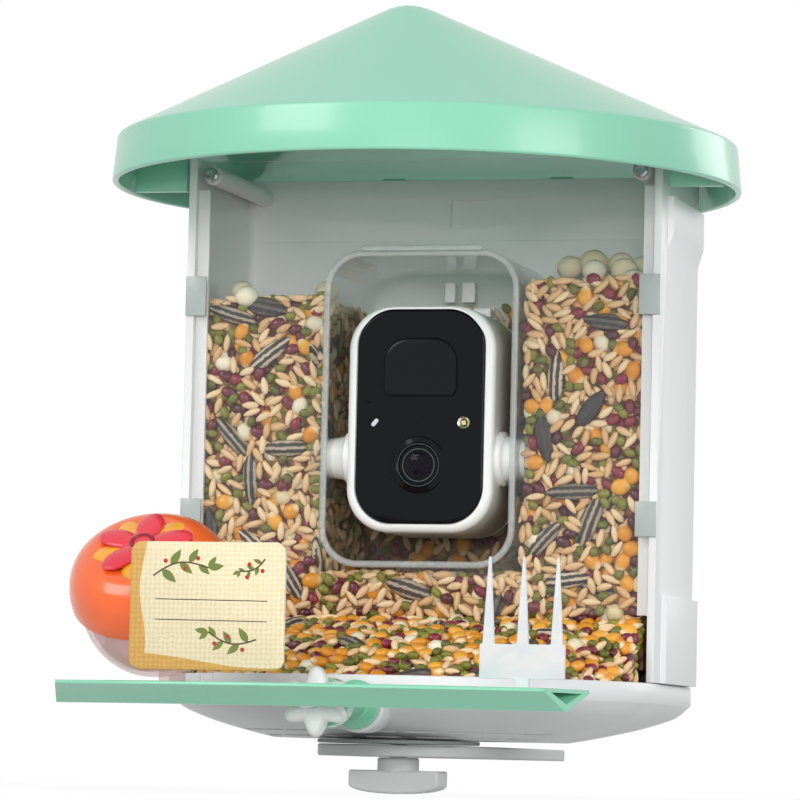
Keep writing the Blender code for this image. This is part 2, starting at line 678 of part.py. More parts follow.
def make_screws():
    """Two cross-head screws through the window's top corners."""
    for side, hand in SIDES:
        x = side * SCREW_X
        head = rod(f"window_screw_{hand}", (x, -SCREW_HEAD_THICK, SCREW_Z), (x, 0, SCREW_Z),
                   SCREW_HEAD_RADIUS, STEEL)
        join(head, rod(f"screw_shank_{side}", (x, -SCREW_HEAD_THICK / 2, SCREW_Z),
                       (x, SCREW_LENGTH, SCREW_Z), SCREW_SHANK_RADIUS, sides=SMALL_SIDES))
        arm = SCREW_HEAD_RADIUS * SCREW_CROSS_SHARE
        for wide, tall in ((arm, SCREW_SLOT / 2), (SCREW_SLOT / 2, arm)):
            cut(head, block(f"cross_{side}_{wide}", (x - wide, -SCREW_HEAD_THICK * 2, SCREW_Z - tall),
                            (x + wide, -SCREW_HEAD_THICK / 2, SCREW_Z + tall)))


def roof_ring(radius, centre_y, z):
    return [(radius * math.cos(a), centre_y + radius * math.sin(a), z)
            for a in (2 * math.pi * i / ROOF_SEGMENTS for i in range(ROOF_SEGMENTS))]


def roof_skin(inset):
    """Rings of one face of the roof, from the lip to the tip, drawn in by an inset."""
    rim_top = ROOF_RADIUS - ROOF_RIM_TAPER
    rings = [roof_ring(ROOF_RADIUS - inset, ROOF_CENTRE_Y, ROOF_LIP_Z)]
    rings.append(roof_ring(rim_top - inset, ROOF_CENTRE_Y, ROOF_RIM_Z - ROOF_EDGE_ROUND - inset))
    cone_radius = rim_top - ROOF_EDGE_ROUND - inset
    for share in ROOF_CONE_SHARES:
        rings.append(roof_ring(cone_radius * (1 - share),
                               ROOF_CENTRE_Y + (ROOF_APEX_Y - ROOF_CENTRE_Y) * share,
                               ROOF_RIM_Z - inset + (ROOF_APEX_Z - ROOF_RIM_Z) * share))
    tip_z = ROOF_RIM_Z - inset + (ROOF_APEX_Z - ROOF_RIM_Z) * ROOF_TIP_SHARE
    tip_y = ROOF_CENTRE_Y + (ROOF_APEX_Y - ROOF_CENTRE_Y) * ROOF_TIP_SHARE
    rings.append(roof_ring(ROOF_TIP_RADIUS, tip_y, tip_z))
    return rings


def roof_height(x, y):
    """Height of the outer cone over a point: where a ring of the cone passes through it."""
    radius = ROOF_RADIUS - ROOF_RIM_TAPER - ROOF_EDGE_ROUND
    shift = ROOF_CENTRE_Y - ROOF_APEX_Y
    away = y - ROOF_CENTRE_Y
    a = shift ** 2 - radius ** 2
    b = 2 * (away * shift + radius ** 2)
    c = x ** 2 + away ** 2 - radius ** 2
    share = (-b + math.sqrt(b ** 2 - 4 * a * c)) / (2 * a)
    return ROOF_RIM_Z + (ROOF_APEX_Z - ROOF_RIM_Z) * share


def make_roof():
    """Green oblique cone with a turned-down rim, side lugs and two hinge barrels."""
    outer = roof_skin(0.0)
    inner = roof_skin(ROOF_THICK)
    roof = loft("roof", inner[::-1] + outer, GREEN)
    inner_reach = ROOF_RADIUS - ROOF_THICK / 2
    for side in (-1, 1):
        near = HALF_WIDTH + GAP + LUG_BOSS_HEIGHT
        reach = math.sqrt(inner_reach ** 2 - (LUG_Y - ROOF_CENTRE_Y) ** 2) - ROOF_RIM_TAPER
        x_low, x_high = sorted((side * near, side * reach))
        join(roof, block(f"lug_{side}", (x_low, LUG_Y - LUG_THICK / 2, ROOF_LIP_Z),
                         (x_high, LUG_Y + LUG_THICK / 2, ROOF_RIM_Z - ROOF_THICK / 2)))
        boss_z = ROOF_LIP_Z + LUG_BOSS_RADIUS
        join(roof, rod(f"lug_boss_{side}", (side * (HALF_WIDTH + GAP), LUG_Y, boss_z),
                       (side * (near + LUG_THICK), LUG_Y, boss_z), LUG_BOSS_RADIUS,
                       sides=SMALL_SIDES))
        middle = side * HINGE_X
        stem_top = roof_height(HINGE_X, HINGE_Y) - ROOF_THICK / 2
        back, front = HINGE_Y + HINGE_BARREL_RADIUS, HINGE_Y - HINGE_BARREL_RADIUS / 2
        stem = [(back, HINGE_Z), (back, stem_top - ROOF_THICK / 2), (front, stem_top), (front, HINGE_Z)]
        join(roof, slab(f"barrel_stem_{side}", stem, middle - HINGE_STEM_HALF,
                        middle + HINGE_STEM_HALF, plane="YZ"))
        join(roof, rod(f"barrel_{side}", (middle - HINGE_BARREL_HALF, HINGE_Y, HINGE_Z),
                       (middle + HINGE_BARREL_HALF, HINGE_Y, HINGE_Z), HINGE_BARREL_RADIUS))
        cut(roof, rod(f"barrel_bore_{side}", (middle - HINGE_BARREL_HALF - OVER, HINGE_Y, HINGE_Z),
                      (middle + HINGE_BARREL_HALF + OVER, HINGE_Y, HINGE_Z), HINGE_PIN_RADIUS + RUN,
                      sides=SMALL_SIDES))
    return roof


def make_hinge_pins():
    half = HINGE_BARREL_HALF + GAP + HINGE_EAR_THICK
    for side, hand in SIDES:
        rod(f"roof_hinge_pin_{hand}", (side * HINGE_X - half, HINGE_Y, HINGE_Z),
            (side * HINGE_X + half, HINGE_Y, HINGE_Z), HINGE_PIN_RADIUS, STEEL, sides=SMALL_SIDES)


def make_mount():
    """Plate with a rounded front, the pad over it, the nut in the base, bolt and hand screw."""
    front = arc(0, PLATE_ROUND_Y, PLATE_HALF, 180, 360, ROUND_STEPS * 4)
    plate_outline = front + [(PLATE_HALF, PLATE_BACK), (-PLATE_HALF, PLATE_BACK)]
    plate = soften(slab("mount_plate", plate_outline, 0, PLATE_THICK, WHITE), PLATE_THICK / 8, 1)
    cut(plate, rod("plate_bolt_hole", (0, BOLT_Y, -OVER), (0, BOLT_Y, PLATE_THICK + OVER),
                   BOLT_RADIUS + RUN))
    for share in PLATE_HOLE_Y_SHARES:
        for side in (-1, 1):
            hole_y = PLATE_BACK * share
            cut(plate, rod(f"plate_hole_{side}_{share}", (side * PLATE_HOLE_X, hole_y, -OVER),
                           (side * PLATE_HOLE_X, hole_y, PLATE_THICK + OVER), PLATE_HOLE_RADIUS,
                           sides=SMALL_SIDES))
    pad_low = PLATE_THICK + GAP
    pad = turned("mount_pad", [(PAD_RADIUS - PAD_THICK / 2, pad_low + PAD_THICK),
                               (PAD_RADIUS, pad_low + PAD_THICK / 2), (PAD_RADIUS, pad_low),
                               (BOLT_RADIUS + RUN, pad_low), (BOLT_RADIUS + RUN, pad_low + PAD_THICK)],
                 GREY, (0, BOLT_Y, 0), steps=WIDE_SIDES)
    nut = rod("mount_nut", (0, BOLT_Y, NUT_LOW), (0, BOLT_Y, NUT_LOW + NUT_THICK),
              NUT_FLATS / math.sqrt(3), STEEL, sides=6)
    cut(nut, rod("nut_bore", (0, BOLT_Y, NUT_LOW - OVER), (0, BOLT_Y, NUT_LOW + NUT_THICK + OVER),
                 BOLT_RADIUS + GAP))
    bolt = rod("mount_bolt", (0, BOLT_Y, -KNOB_BOLT_SEAT), (0, BOLT_Y, BOLT_TOP), BOLT_RADIUS, STEEL)
    neck_top = -GAP
    bar_top = neck_top - KNOB_NECK_HEIGHT
    bar_low = bar_top - KNOB_BAR_HEIGHT
    belly = [(a, bar_low + (z - bar_low) * KNOB_BAR_BELLY / KNOB_BAR_HALF)
             for a, z in arc(0, bar_low, KNOB_BAR_HALF, 180, 360, KNOB_BELLY_STEPS)]
    bar_outline = [(KNOB_BAR_HALF, bar_top), (-KNOB_BAR_HALF, bar_top)] + belly
    knob = slab("hand_screw", bar_outline, BOLT_Y - KNOB_BAR_HALF_DEPTH, BOLT_Y + KNOB_BAR_HALF_DEPTH,
                GREY, plane="XZ")
    soften(knob, KNOB_BAR_BELLY / 2, 1)
    join(knob, rod("knob_neck", (0, BOLT_Y, neck_top), (0, BOLT_Y, bar_top - OVER), KNOB_NECK_RADIUS))
    cut(knob, rod("knob_bore", (0, BOLT_Y, OVER), (0, BOLT_Y, -KNOB_BOLT_SEAT - GAP),
                  BOLT_RADIUS + GAP))
    return plate, pad, nut, bolt, knob


def perch_section(angle, grow):
    """Four corners of the perch's section at an angle along its arc."""
    half_top = PERCH_HALF_TOP + grow * PERCH_SKIRT_SHARE
    corners = ((-half_top, PERCH_TOP + grow), (half_top, PERCH_TOP + grow),
               (PERCH_HALF_FOOT, PERCH_BOTTOM - grow), (-PERCH_HALF_FOOT, PERCH_BOTTOM - grow))
    ring = []
    for across, z in corners:
        radius = PERCH_ARC_RADIUS - across
        ring.append((radius * math.sin(angle), PERCH_Y + PERCH_ARC_RADIUS - radius * math.cos(angle), z))
    return ring


def perch_bar_form(name, grow, half_angle, mat=None):
    rings = [perch_section(half_angle * (2 * i / PERCH_STEPS - 1), grow)
             for i in range(PERCH_STEPS + 1)]
    return loft(name, rings, mat)


def make_perch():
    """Green hollow bar on an arc, its arm, the stud between them and the star-shaped lock nut."""
    bar = perch_bar_form("perch_bar", 0.0, PERCH_ARC_HALF_ANGLE, GREEN)
    cut(bar, perch_bar_form("perch_hollow", -PERCH_WALL, PERCH_ARC_HALF_ANGLE * PERCH_HOLLOW_SHARE))
    join(bar, rod("stud_socket", (0, -PERCH_SOCKET_BACK, ARM_Z), (0, PERCH_Y, ARM_Z),
                  PERCH_SOCKET_RADIUS))
    depth = PERCH_HALF_TOP * 2
    slope = math.atan2(PERCH_END_BACK_X - PERCH_END_FRONT_X, depth)
    end_y = PERCH_Y + PERCH_ARC_RADIUS - math.sqrt(PERCH_ARC_RADIUS ** 2 - PERCH_END_BACK_X ** 2)
    middle_x = (PERCH_END_FRONT_X + PERCH_END_BACK_X) / 2
    for side in (-1, 1):
        trim = block(f"perch_trim_{side}", (0, -depth * 2, -PERCH_TOP), (depth * 2, depth * 2, PERCH_TOP))
        centre = Matrix.Translation((side * middle_x, end_y, PERCH_TOP))
        turn = Matrix.Rotation(-side * slope, 4, "Z")
        trim.matrix_world = centre @ turn @ Matrix.Translation((side * depth, 0, 0))
        cut(bar, trim)
    cut(bar, rod("stud_bore", (0, -PERCH_SOCKET_BACK + OVER, ARM_Z), (0, -STUD_FRONT - GAP, ARM_Z),
                 STUD_RADIUS + GAP))
    slots = ((SIGN_STEM_X, SIGN_Y + GAP + PLUG_THICK / 2, SIGN_STEM_HALF), (FORK_X, FORK_Y, FORK_STEM_HALF),
             (FOOT_X, FOOT_Y, FOOT_HALF))
    slot_low = PERCH_TOP - PLUG_DEPTH - GAP
    for x, y, half in slots:
        cut(bar, block(f"slot_{x}", (x - half - GAP, y - PLUG_THICK / 2 - GAP, slot_low),
                       (x + half + GAP, y + PLUG_THICK / 2 + GAP, PERCH_TOP + OVER)))
    arm_end = ARM_BOSS_FRONT - ARM_BOSS_BORE_DEPTH + GAP
    flange_front = ARM_BOSS_FRONT + GAP + ARM_FLANGE_THICK
    arm = turned("perch_arm", [
        (0, HUB_FRONT), (HUB_RADIUS, HUB_FRONT), (HUB_RADIUS, HUB_FRONT - HUB_LENGTH),
        (ARM_RADIUS, HUB_FRONT - HUB_LENGTH), (ARM_RADIUS, flange_front),
        (ARM_FLANGE_RADIUS, flange_front), (ARM_FLANGE_RADIUS, ARM_BOSS_FRONT + GAP),
        (ARM_RADIUS, ARM_BOSS_FRONT + GAP), (ARM_RADIUS, arm_end), (0, arm_end)],
        GREEN, (0, 0, ARM_Z), along="-Y")
    cut(arm, rod("arm_stud_bore", (0, -HUB_FRONT - OVER, ARM_Z), (0, GAP - STUD_BACK, ARM_Z),
                 STUD_RADIUS + GAP))
    stud = rod("perch_stud", (0, -STUD_FRONT, ARM_Z), (0, -STUD_BACK, ARM_Z), STUD_RADIUS, STEEL)
    star_outline = []
    for i in range(STAR_POINTS):
        angle = 2 * math.pi * i / STAR_POINTS
        radius = STAR_MEAN_RADIUS + STAR_LOBE * math.cos(STAR_LOBES * (angle - math.pi / 2))
        star_outline.append((radius * math.cos(angle), ARM_Z + radius * math.sin(angle)))
    star = slab("star_knob", star_outline, -STAR_FRONT, -STAR_BACK, WHITE, plane="XZ")
    soften(star, STAR_EDGE, 1)
    cut(star, rod("star_bore", (0, -STAR_FRONT - OVER, ARM_Z), (0, OVER - STAR_BACK, ARM_Z),
                  STUD_RADIUS + RUN))
    return bar, arm, stud, star


def make_sign():
    """Bare board on a clear stem that plugs into the perch."""
    outline = rounded_rectangle(SIGN_LEFT, SIGN_RIGHT, SIGN_LOW, SIGN_HIGH, SIGN_RADIUS)
    board = slab("sign_board", outline, SIGN_Y - SIGN_THICK, SIGN_Y, LINEN, plane="XZ")
    stem_low = PERCH_TOP - PLUG_DEPTH
    back = SIGN_Y + GAP
    stem = block("sign_stem", (SIGN_STEM_X - SIGN_STEM_HALF, back, stem_low),
                 (SIGN_STEM_X + SIGN_STEM_HALF, back + PLUG_THICK, SIGN_LOW + SIGN_STEM_OVERLAP), CLEAR)
    return board, stem


def make_fork():
    """Flat fruit fork with three tapering tines over a square plate and a stem."""
    left, right = FORK_X - FORK_HALF, FORK_X + FORK_HALF
    outline = [(FORK_X + FORK_STEM_HALF, PERCH_TOP - PLUG_DEPTH), (FORK_X + FORK_STEM_HALF, FORK_LOW),
               (right, FORK_LOW), (right, FORK_SHOULDER)]
    for share in FORK_TINE_SHARES[::-1]:
        x = FORK_X + share * FORK_HALF
        outline += [(x + FORK_TINE_HALF, FORK_SHOULDER), (x + FORK_TIP_HALF, FORK_TIP),
                    (x - FORK_TIP_HALF, FORK_TIP), (x - FORK_TINE_HALF, FORK_SHOULDER)]
    outline += [(left, FORK_SHOULDER), (left, FORK_LOW), (FORK_X - FORK_STEM_HALF, FORK_LOW),
                (FORK_X - FORK_STEM_HALF, PERCH_TOP - PLUG_DEPTH)]
    return slab("fruit_fork", outline, FORK_Y - FORK_THICK / 2, FORK_Y + FORK_THICK / 2, FROSTED,
                plane="XZ")


def leaning():
    """The nectar feeder's frame: its brim's middle, with the axis leaning to the front."""
    return Matrix.Translation((BALL_X, BALL_Y, BALL_Z)) @ Matrix.Rotation(BALL_LEAN, 4, "X")


def bowl_profile(inset):
    """Half profile of the bowl from the middle of its foot to its brim, drawn in by an inset."""
    straight = BOWL_DEPTH - BOWL_RADIUS
    round_part = arc(0, -straight, BOWL_RADIUS - inset, -90, 0, ROUND_STEPS + 1)
    return [(0, round_part[0][1])] + round_part[1:] + [(BOWL_RADIUS - inset, -GAP)]


def lid_profile(inset):
    """Half profile of the lid from its brim over the crest to the middle of its dish."""
    rows = [(LID_RADIUS * r - inset, LID_HEIGHT * z - inset * (z > 0)) for r, z in LID_SHARES]
    return rows + [(0, rows[-1][1])]


def make_nectar_feeder():
    """Clear bowl, orange lid that twists on, its flower, and the foot in the perch."""
    frame = leaning()
    bowl = turned("nectar_bowl", bowl_profile(BALL_WALL) + bowl_profile(0)[::-1], PINK_CLEAR,
                  steps=BALL_STEPS)
    lid = turned("nectar_lid", lid_profile(0)[::-1] + lid_profile(LID_WALL), ORANGE, steps=BALL_STEPS)
    dish_top = LID_HEIGHT * LID_SHARES[-1][1]
    flower = rod("nectar_flower", (0, 0, dish_top + GAP), (0, 0, dish_top + FLOWER_CORE_HEIGHT),
                 FLOWER_CORE_RADIUS, PETAL, end_radius=FLOWER_CORE_TIP)
    petal_low = dish_top + FLOWER_RISE - FLOWER_THICK / 2
    for i in range(FLOWER_PETALS):
        outline = arc(FLOWER_PETAL_REACH - FLOWER_PETAL_HALF, 0, FLOWER_PETAL_HALF, -90, 90)
        outline += [(0, FLOWER_PETAL_HALF / 2), (0, -FLOWER_PETAL_HALF / 2)]
        petal = slab(f"petal_{i}", outline, 0, FLOWER_THICK)
        petal.matrix_world = (Matrix.Rotation(2 * math.pi * i / FLOWER_PETALS, 4, "Z")
                              @ Matrix.Translation((0, 0, petal_low + FLOWER_THICK / 2)))
        join(flower, petal)
    for piece in (bowl, lid, flower):
        piece.matrix_world = frame @ piece.matrix_world
    foot = block("nectar_foot", (FOOT_X - FOOT_HALF, FOOT_Y - PLUG_THICK / 2, PERCH_TOP - PLUG_DEPTH),
                 (FOOT_X + FOOT_HALF, FOOT_Y + PLUG_THICK / 2, BALL_Z - BOWL_RADIUS / 2), PINK_CLEAR)
    around = arc(0, 0, BOWL_RADIUS + GAP, 90, -90, FOOT_SEAT_STEPS)[1:-1]
    for i, low in enumerate((BOWL_RADIUS - BOWL_DEPTH, 0)):
        seat = turned(f"foot_seat_{i}", [(0, BOWL_RADIUS + GAP)] + around + [(0, -BOWL_RADIUS - GAP)],
                      steps=BALL_STEPS)
        seat.matrix_world = frame @ Matrix.Translation((0, 0, low))
        cut(foot, seat)
    return bowl, lid, flower, foot


def motion_window_plan(grow):
    """Outline of the motion sensor's window, round at its foot and arched at its top."""
    left, right = -PIR_HALF - grow, PIR_HALF + grow
    low, high = PIR_LOW - grow, PIR_HIGH + grow
    small, wide = PIR_RADIUS + grow, PIR_ARCH_RADIUS + grow
    return (arc(right - wide, high - wide, wide, 0, 90)
            + arc(left + wide, high - wide, wide, 90, 180)
            + arc(left + small, low + small, small, 180, 270)
            + arc(right - small, low + small, small, 270, 360))


def camera_plan(inset):
    """Outline of the camera from the front, drawn in by an inset."""
    return rounded_rectangle(inset - CAMERA_HALF, CAMERA_HALF - inset, CAMERA_LOW + inset,
                             CAMERA_HIGH - inset, CAMERA_RADIUS - inset)


def make_camera():
    """White shell and back cover round the glass, optics, board and cells."""
    cover_front = CAMERA_BACK - BACK_COVER_THICK
    shell = slab("camera_shell", camera_plan(0.0), CAMERA_FRONT, cover_front - GAP, WHITE, plane="XZ")
    soften(shell, CAMERA_EDGE, 2, 60)
    glass_plan = rounded_rectangle(-GLASS_HALF, GLASS_HALF, GLASS_LOW, GLASS_HIGH, GLASS_RADIUS)
    seat_plan = rounded_rectangle(-GLASS_HALF - GAP, GLASS_HALF + GAP, GLASS_LOW - GAP,
                                  GLASS_HIGH + GAP, GLASS_RADIUS + GAP)
    seat_back = CAMERA_FRONT + GLASS_THICK + GAP
    cut(shell, slab("glass_seat", seat_plan, CAMERA_FRONT - OVER, seat_back, plane="XZ"))
    cut(shell, slab("camera_cavity", camera_plan(CAMERA_WALL * CAMERA_CAVITY_SHARES), CAMERA_FRONT - OVER,
                    cover_front + OVER, plane="XZ"))
    for side in (-1, 1):
        disc_out = CAMERA_HALF + PIVOT_DISC_THICK
        join(shell, rod(f"pivot_disc_{side}", (side * (CAMERA_HALF - CAMERA_WALL), PIVOT_Y, PIVOT_Z),
                        (side * disc_out, PIVOT_Y, PIVOT_Z), SOCKET_RADIUS - POCKET_WALL - RUN,
                        sides=WIDE_SIDES))
        join(shell, rod(f"pivot_stub_{side}", (side * CAMERA_HALF, PIVOT_Y, PIVOT_Z),
                        (side * PIVOT_STUB_OUT, PIVOT_Y, PIVOT_Z), PIVOT_STUB_RADIUS,
                        end_radius=PIVOT_STUB_RADIUS * PIVOT_STUB_TIP_SHARE))
        cut(shell, rod(f"pivot_bore_{side}", (side * (BUSH_IN - GAP), PIVOT_Y, PIVOT_Z),
                       (side * (PIVOT_STUB_OUT + OVER), PIVOT_Y, PIVOT_Z), BUSH_RADIUS + RUN))

    glass = soften(slab("camera_glass", glass_plan, CAMERA_FRONT, CAMERA_FRONT + GLASS_THICK, BLACK,
                        plane="XZ"), GLASS_EDGE, 1, 60)
    ring_bore = rod("lens_hole", (0, CAMERA_FRONT - OVER, LENS_Z), (0, seat_back + OVER, LENS_Z),
                    LENS_RING_RADIUS + GAP, sides=WIDE_SIDES)
    pir_hole = slab("pir_hole", motion_window_plan(GAP), CAMERA_FRONT - OVER, seat_back + OVER,
                    plane="XZ")
    spot_hole = rod("spot_hole", (SPOT_X, CAMERA_FRONT - OVER, SPOT_Z),
                    (SPOT_X, seat_back + OVER, SPOT_Z), SPOT_RADIUS + GAP)
    pill_frame = (Matrix.Translation((PILL_X, CAMERA_FRONT + GLASS_THICK / 2, SPOT_Z))
                  @ Matrix.Rotation(PILL_TILT, 4, "Y") @ Matrix.Rotation(math.radians(90), 4, "X")
                  @ Matrix.Rotation(math.radians(90), 4, "Z"))
    pill_hole = slab("pill_hole", stadium(PILL_LENGTH / 2 + GAP, PILL_HALF + GAP), -OVER, OVER)
    pill_hole.matrix_world = pill_frame
    cut(glass, ring_bore, pir_hole, spot_hole, pill_hole)
    pir = slab("motion_sensor_window", motion_window_plan(0), CAMERA_FRONT - GAP,
               CAMERA_FRONT + PIR_THICK, DARK, plane="XZ")
    soften(pir, GLASS_EDGE / 2, 1, 60)
    sensor = turned("motion_sensor", [(0, -SENSOR_FRONT), (SENSOR_RADIUS, -SENSOR_FRONT),
                                      (SENSOR_RADIUS, GAP - BOARD_Y), (0, GAP - BOARD_Y)], STEEL,
                    (0, 0, (PIR_LOW + PIR_HIGH) / 2), along="-Y")
    ring_back = CAMERA_FRONT + GLASS_THICK
    ring = turned("lens_ring", [
        (LENS_BARREL_RADIUS + GAP, -CAMERA_FRONT - GLASS_EDGE), (LENS_RING_RADIUS, -CAMERA_FRONT),
        (LENS_RING_RADIUS, -ring_back), (LENS_BARREL_RADIUS + GAP, -ring_back)], DARK,
        (0, 0, LENS_Z), along="-Y")
    barrel_front = CAMERA_FRONT + LENS_DOME / 2
    barrel = turned("lens_barrel", [
        (LENS_BARREL_RADIUS, -barrel_front), (LENS_BARREL_RADIUS, GAP - BOARD_Y),
        (LENS_GLASS_RADIUS / 2, GAP - BOARD_Y), (LENS_GLASS_RADIUS / 2, -CAMERA_FRONT - LENS_SEAT),
        (LENS_GLASS_RADIUS + GAP, -CAMERA_FRONT - LENS_SEAT), (LENS_GLASS_RADIUS + GAP, -barrel_front)],
        DARK, (0, 0, LENS_Z), along="-Y")
    dome = [(r, z * LENS_DOME / LENS_GLASS_RADIUS - CAMERA_FRONT - LENS_DOME)
            for r, z in arc(0, 0, LENS_GLASS_RADIUS, 90, 0)]
    lens_back = GAP - CAMERA_FRONT - LENS_SEAT
    lens = turned("lens_glass", [(0, dome[0][1])] + dome[1:] + [
        (LENS_GLASS_RADIUS, lens_back), (0, lens_back)], BLACK, (0, 0, LENS_Z), along="-Y")
    spot = rod("spotlight", (SPOT_X, CAMERA_FRONT, SPOT_Z), (SPOT_X, BOARD_Y - GAP, SPOT_Z),
               SPOT_RADIUS, STEEL)
    pill = slab("status_light", stadium(PILL_LENGTH / 2, PILL_HALF), -GLASS_THICK / 2, GLASS_THICK / 2,
                WHITE)
    pill.matrix_world = pill_frame
    board = block("circuit_board", (-BOARD_HALF, BOARD_Y, BOARD_LOW),
                  (BOARD_HALF, BOARD_Y + BOARD_THICK, BOARD_HIGH), CIRCUIT)
    chip_back = BOARD_Y + BOARD_THICK + BOARD_THICK / 2
    join(board, block("processor", (-BOARD_HALF / 3, BOARD_Y + BOARD_THICK / 2, BOARD_HIGH - BOARD_HALF),
                      (BOARD_HALF / 3, chip_back, BOARD_HIGH - BOARD_HALF / 3)))
    cells = [rod(f"battery_cell_{hand}", (side * CELL_X, CELL_Y, CELL_LOW),
                 (side * CELL_X, CELL_Y, CELL_LOW + CELL_LENGTH), CELL_RADIUS, CELL_WRAP)
             for side, hand in SIDES]

    cover = slab("camera_back", camera_plan(0.0), cover_front, CAMERA_BACK, WHITE, plane="XZ")
    soften(cover, CAMERA_BACK_EDGE, 2, 60)
    port_z = (FLAP_LOW + FLAP_HIGH) / 2
    port_plan = [(x + PORT_X, z + port_z) for x, z in stadium(PORT_HALF, PORT_HEIGHT / 2)]
    cut(cover, slab("port", port_plan, cover_front - OVER, CAMERA_BACK + OVER, plane="XZ"))
    cut(cover, rod("button_hole", (BUTTON_X, cover_front - OVER, BUTTON_Z),
                   (BUTTON_X, CAMERA_BACK + OVER, BUTTON_Z), BUTTON_RADIUS + RUN))
    button = rod("power_button", (BUTTON_X, cover_front, BUTTON_Z),
                 (BUTTON_X, CAMERA_BACK + BUTTON_STAND, BUTTON_Z), BUTTON_RADIUS, RUBBER)
    soften(button, BUTTON_EDGE, 1, 60)
    flap_plan = rounded_rectangle(PORT_X - FLAP_HALF, PORT_X + FLAP_HALF, FLAP_LOW, FLAP_HIGH,
                                  FLAP_RADIUS)
    flap = slab("port_flap", flap_plan, CAMERA_BACK + GAP, CAMERA_BACK + GAP + FLAP_THICK, RUBBER,
                plane="XZ")
    cradle_outline = [(-CRADLE_HALF, CRADLE_LOW), (CRADLE_HALF, CRADLE_LOW), (CRADLE_HALF, CRADLE_TOP)]
    for low_share, high_share in CRADLE_TAB_SHARES[::-1]:
        low, high = CRADLE_HALF * low_share, CRADLE_HALF * high_share
        cradle_outline += [(high, CRADLE_TOP), (high, CRADLE_TAB_HIGH), (low, CRADLE_TAB_HIGH),
                           (low, CRADLE_TOP)]
    cradle_outline += [(-CRADLE_HALF, CRADLE_TOP)]
    cradle = slab("camera_cradle", cradle_outline, CAMERA_BACK + GAP,
                  CAMERA_BACK + GAP + CRADLE_THICK, WHITE, plane="XZ")
    fixed = [shell, glass, pir, sensor, ring, barrel, lens, spot, pill, board, cover, cradle] + cells
    return fixed, button, flap


def make_bushes():
    """White pivot bushes, pressed through the sockets from the seed side."""
    outer = POCKET_HALF + SOCKET_REACH
    for side, hand in SIDES:
        bush = rod(f"pivot_bush_{hand}", (side * BUSH_IN, PIVOT_Y, PIVOT_Z),
                   (side * (outer + GAP + BUSH_FLANGE / 2), PIVOT_Y, PIVOT_Z), BUSH_RADIUS, WHITE)
        join(bush, rod(f"bush_flange_{side}", (side * (outer + GAP), PIVOT_Y, PIVOT_Z),
                       (side * (outer + GAP + BUSH_FLANGE), PIVOT_Y, PIVOT_Z), BUSH_FLANGE_RADIUS))


def make_stop_blocks():
    back = POCKET_BACK - POCKET_WALL - GAP
    for (low, high), (_, hand) in zip(BLOCK_SPANS, SIDES):
        block(f"pocket_block_{hand}", (low, back - BLOCK_THICK, BLOCK_LOW), (high, back, BLOCK_HIGH), WHITE)


def make_seed():
    """The seed itself: it fills the hopper round the pocket and heaps out over the tray."""
    front = GAP + WINDOW_THICK + GAP * 2
    back = DEPTH - WALL - STEP_RISE - GAP
    seed = block("seed_fill", (-SEED_HALF, front, SEAM_Z + GAP),
                 (SEED_HALF, back, SEED_LEVEL), SEED)
    rings = base_rings(BOWL_LEVELS[:-1], BASE_WALL + SEED_BOWL_MARGIN, BASE_WALL + SEED_BOWL_MARGIN)
    for z in (SEAM_Z, WINDOW_LOW - GAP):
        rings.append([(x, y, z) for x, y in base_plan(SEED_TRAY_MARGIN)])
    heap = loft("seed_heap", rings)
    over_front = -TRAY_REACH - OVER
    slope = [(front, WINDOW_LOW - GAP), (over_front, SEAM_Z - SEED_LIP), (over_front, WINDOW_LOW + OVER),
             (front, WINDOW_LOW + OVER)]
    cut(heap, slab("heap_slope", slope, -HALF_WIDTH, HALF_WIDTH, plane="YZ"))
    join(seed, heap)
    cut(seed, pocket_form("seed_pocket", GAP, 0, POCKET_BACK + GAP))
    for side in (-1, 1):
        outer = POCKET_HALF + SOCKET_REACH
        cut(seed, rod(f"seed_bush_{side}", (side * outer, PIVOT_Y, PIVOT_Z),
                      (side * (outer + BUSH_FLANGE + 2 * GAP), PIVOT_Y, PIVOT_Z),
                      BUSH_FLANGE_RADIUS + GAP))
    cut(seed, rod("seed_nut_boss", (0, BOLT_Y, 0), (0, BOLT_Y, BOLT_TOP + BASE_WALL + GAP),
                  NUT_BOSS_RADIUS + GAP))
    cut(seed, rod("seed_arm_boss", (0, -TRAY_REACH, ARM_Z),
                  (0, ARM_BOSS_LENGTH - ARM_BOSS_FRONT + GAP, ARM_Z), ARM_BOSS_RADIUS + GAP))
    return seed


def carry(name, axis_point, pieces):
    """Hang a moving body on an empty that stands on its joint's axis."""
    empty = bpy.data.objects.new(name, None)
    empty.location = axis_point
    PARTS.objects.link(empty)
    for piece in pieces:
        piece.parent = empty
        piece.matrix_parent_inverse = Matrix.Translation(axis_point).inverted()
    return empty


make_base()
make_hopper()
make_window()
make_screws()
make_bushes()
make_stop_blocks()
make_seed()
make_hinge_pins()
make_sign()
make_fork()
carry("roof_hinge", (0, HINGE_Y, HINGE_Z), [make_roof()])
mount_plate, mount_pad, mount_nut, mount_bolt, hand_screw = make_mount()
carry("hand_screw_axis", (0, BOLT_Y, 0), [mount_bolt, hand_screw])
perch_bar, perch_arm, perch_stud, star_knob = make_perch()
carry("star_knob_axis", (0, -STAR_BACK, ARM_Z), [star_knob])
nectar_bowl, nectar_lid, nectar_flower, nectar_foot = make_nectar_feeder()
carry("nectar_lid_axis", (BALL_X, BALL_Y, BALL_Z), [nectar_lid, nectar_flower])
camera_pieces, power_button, port_flap = make_camera()
button_guide = carry("button_guide", (BUTTON_X, CAMERA_BACK, BUTTON_Z), [power_button])
flap_hinge = carry("flap_hinge", (PORT_X, CAMERA_BACK + GAP, FLAP_LOW), [port_flap])
carry("camera_tilt", (0, PIVOT_Y, PIVOT_Z), camera_pieces + [button_guide, flap_hinge])
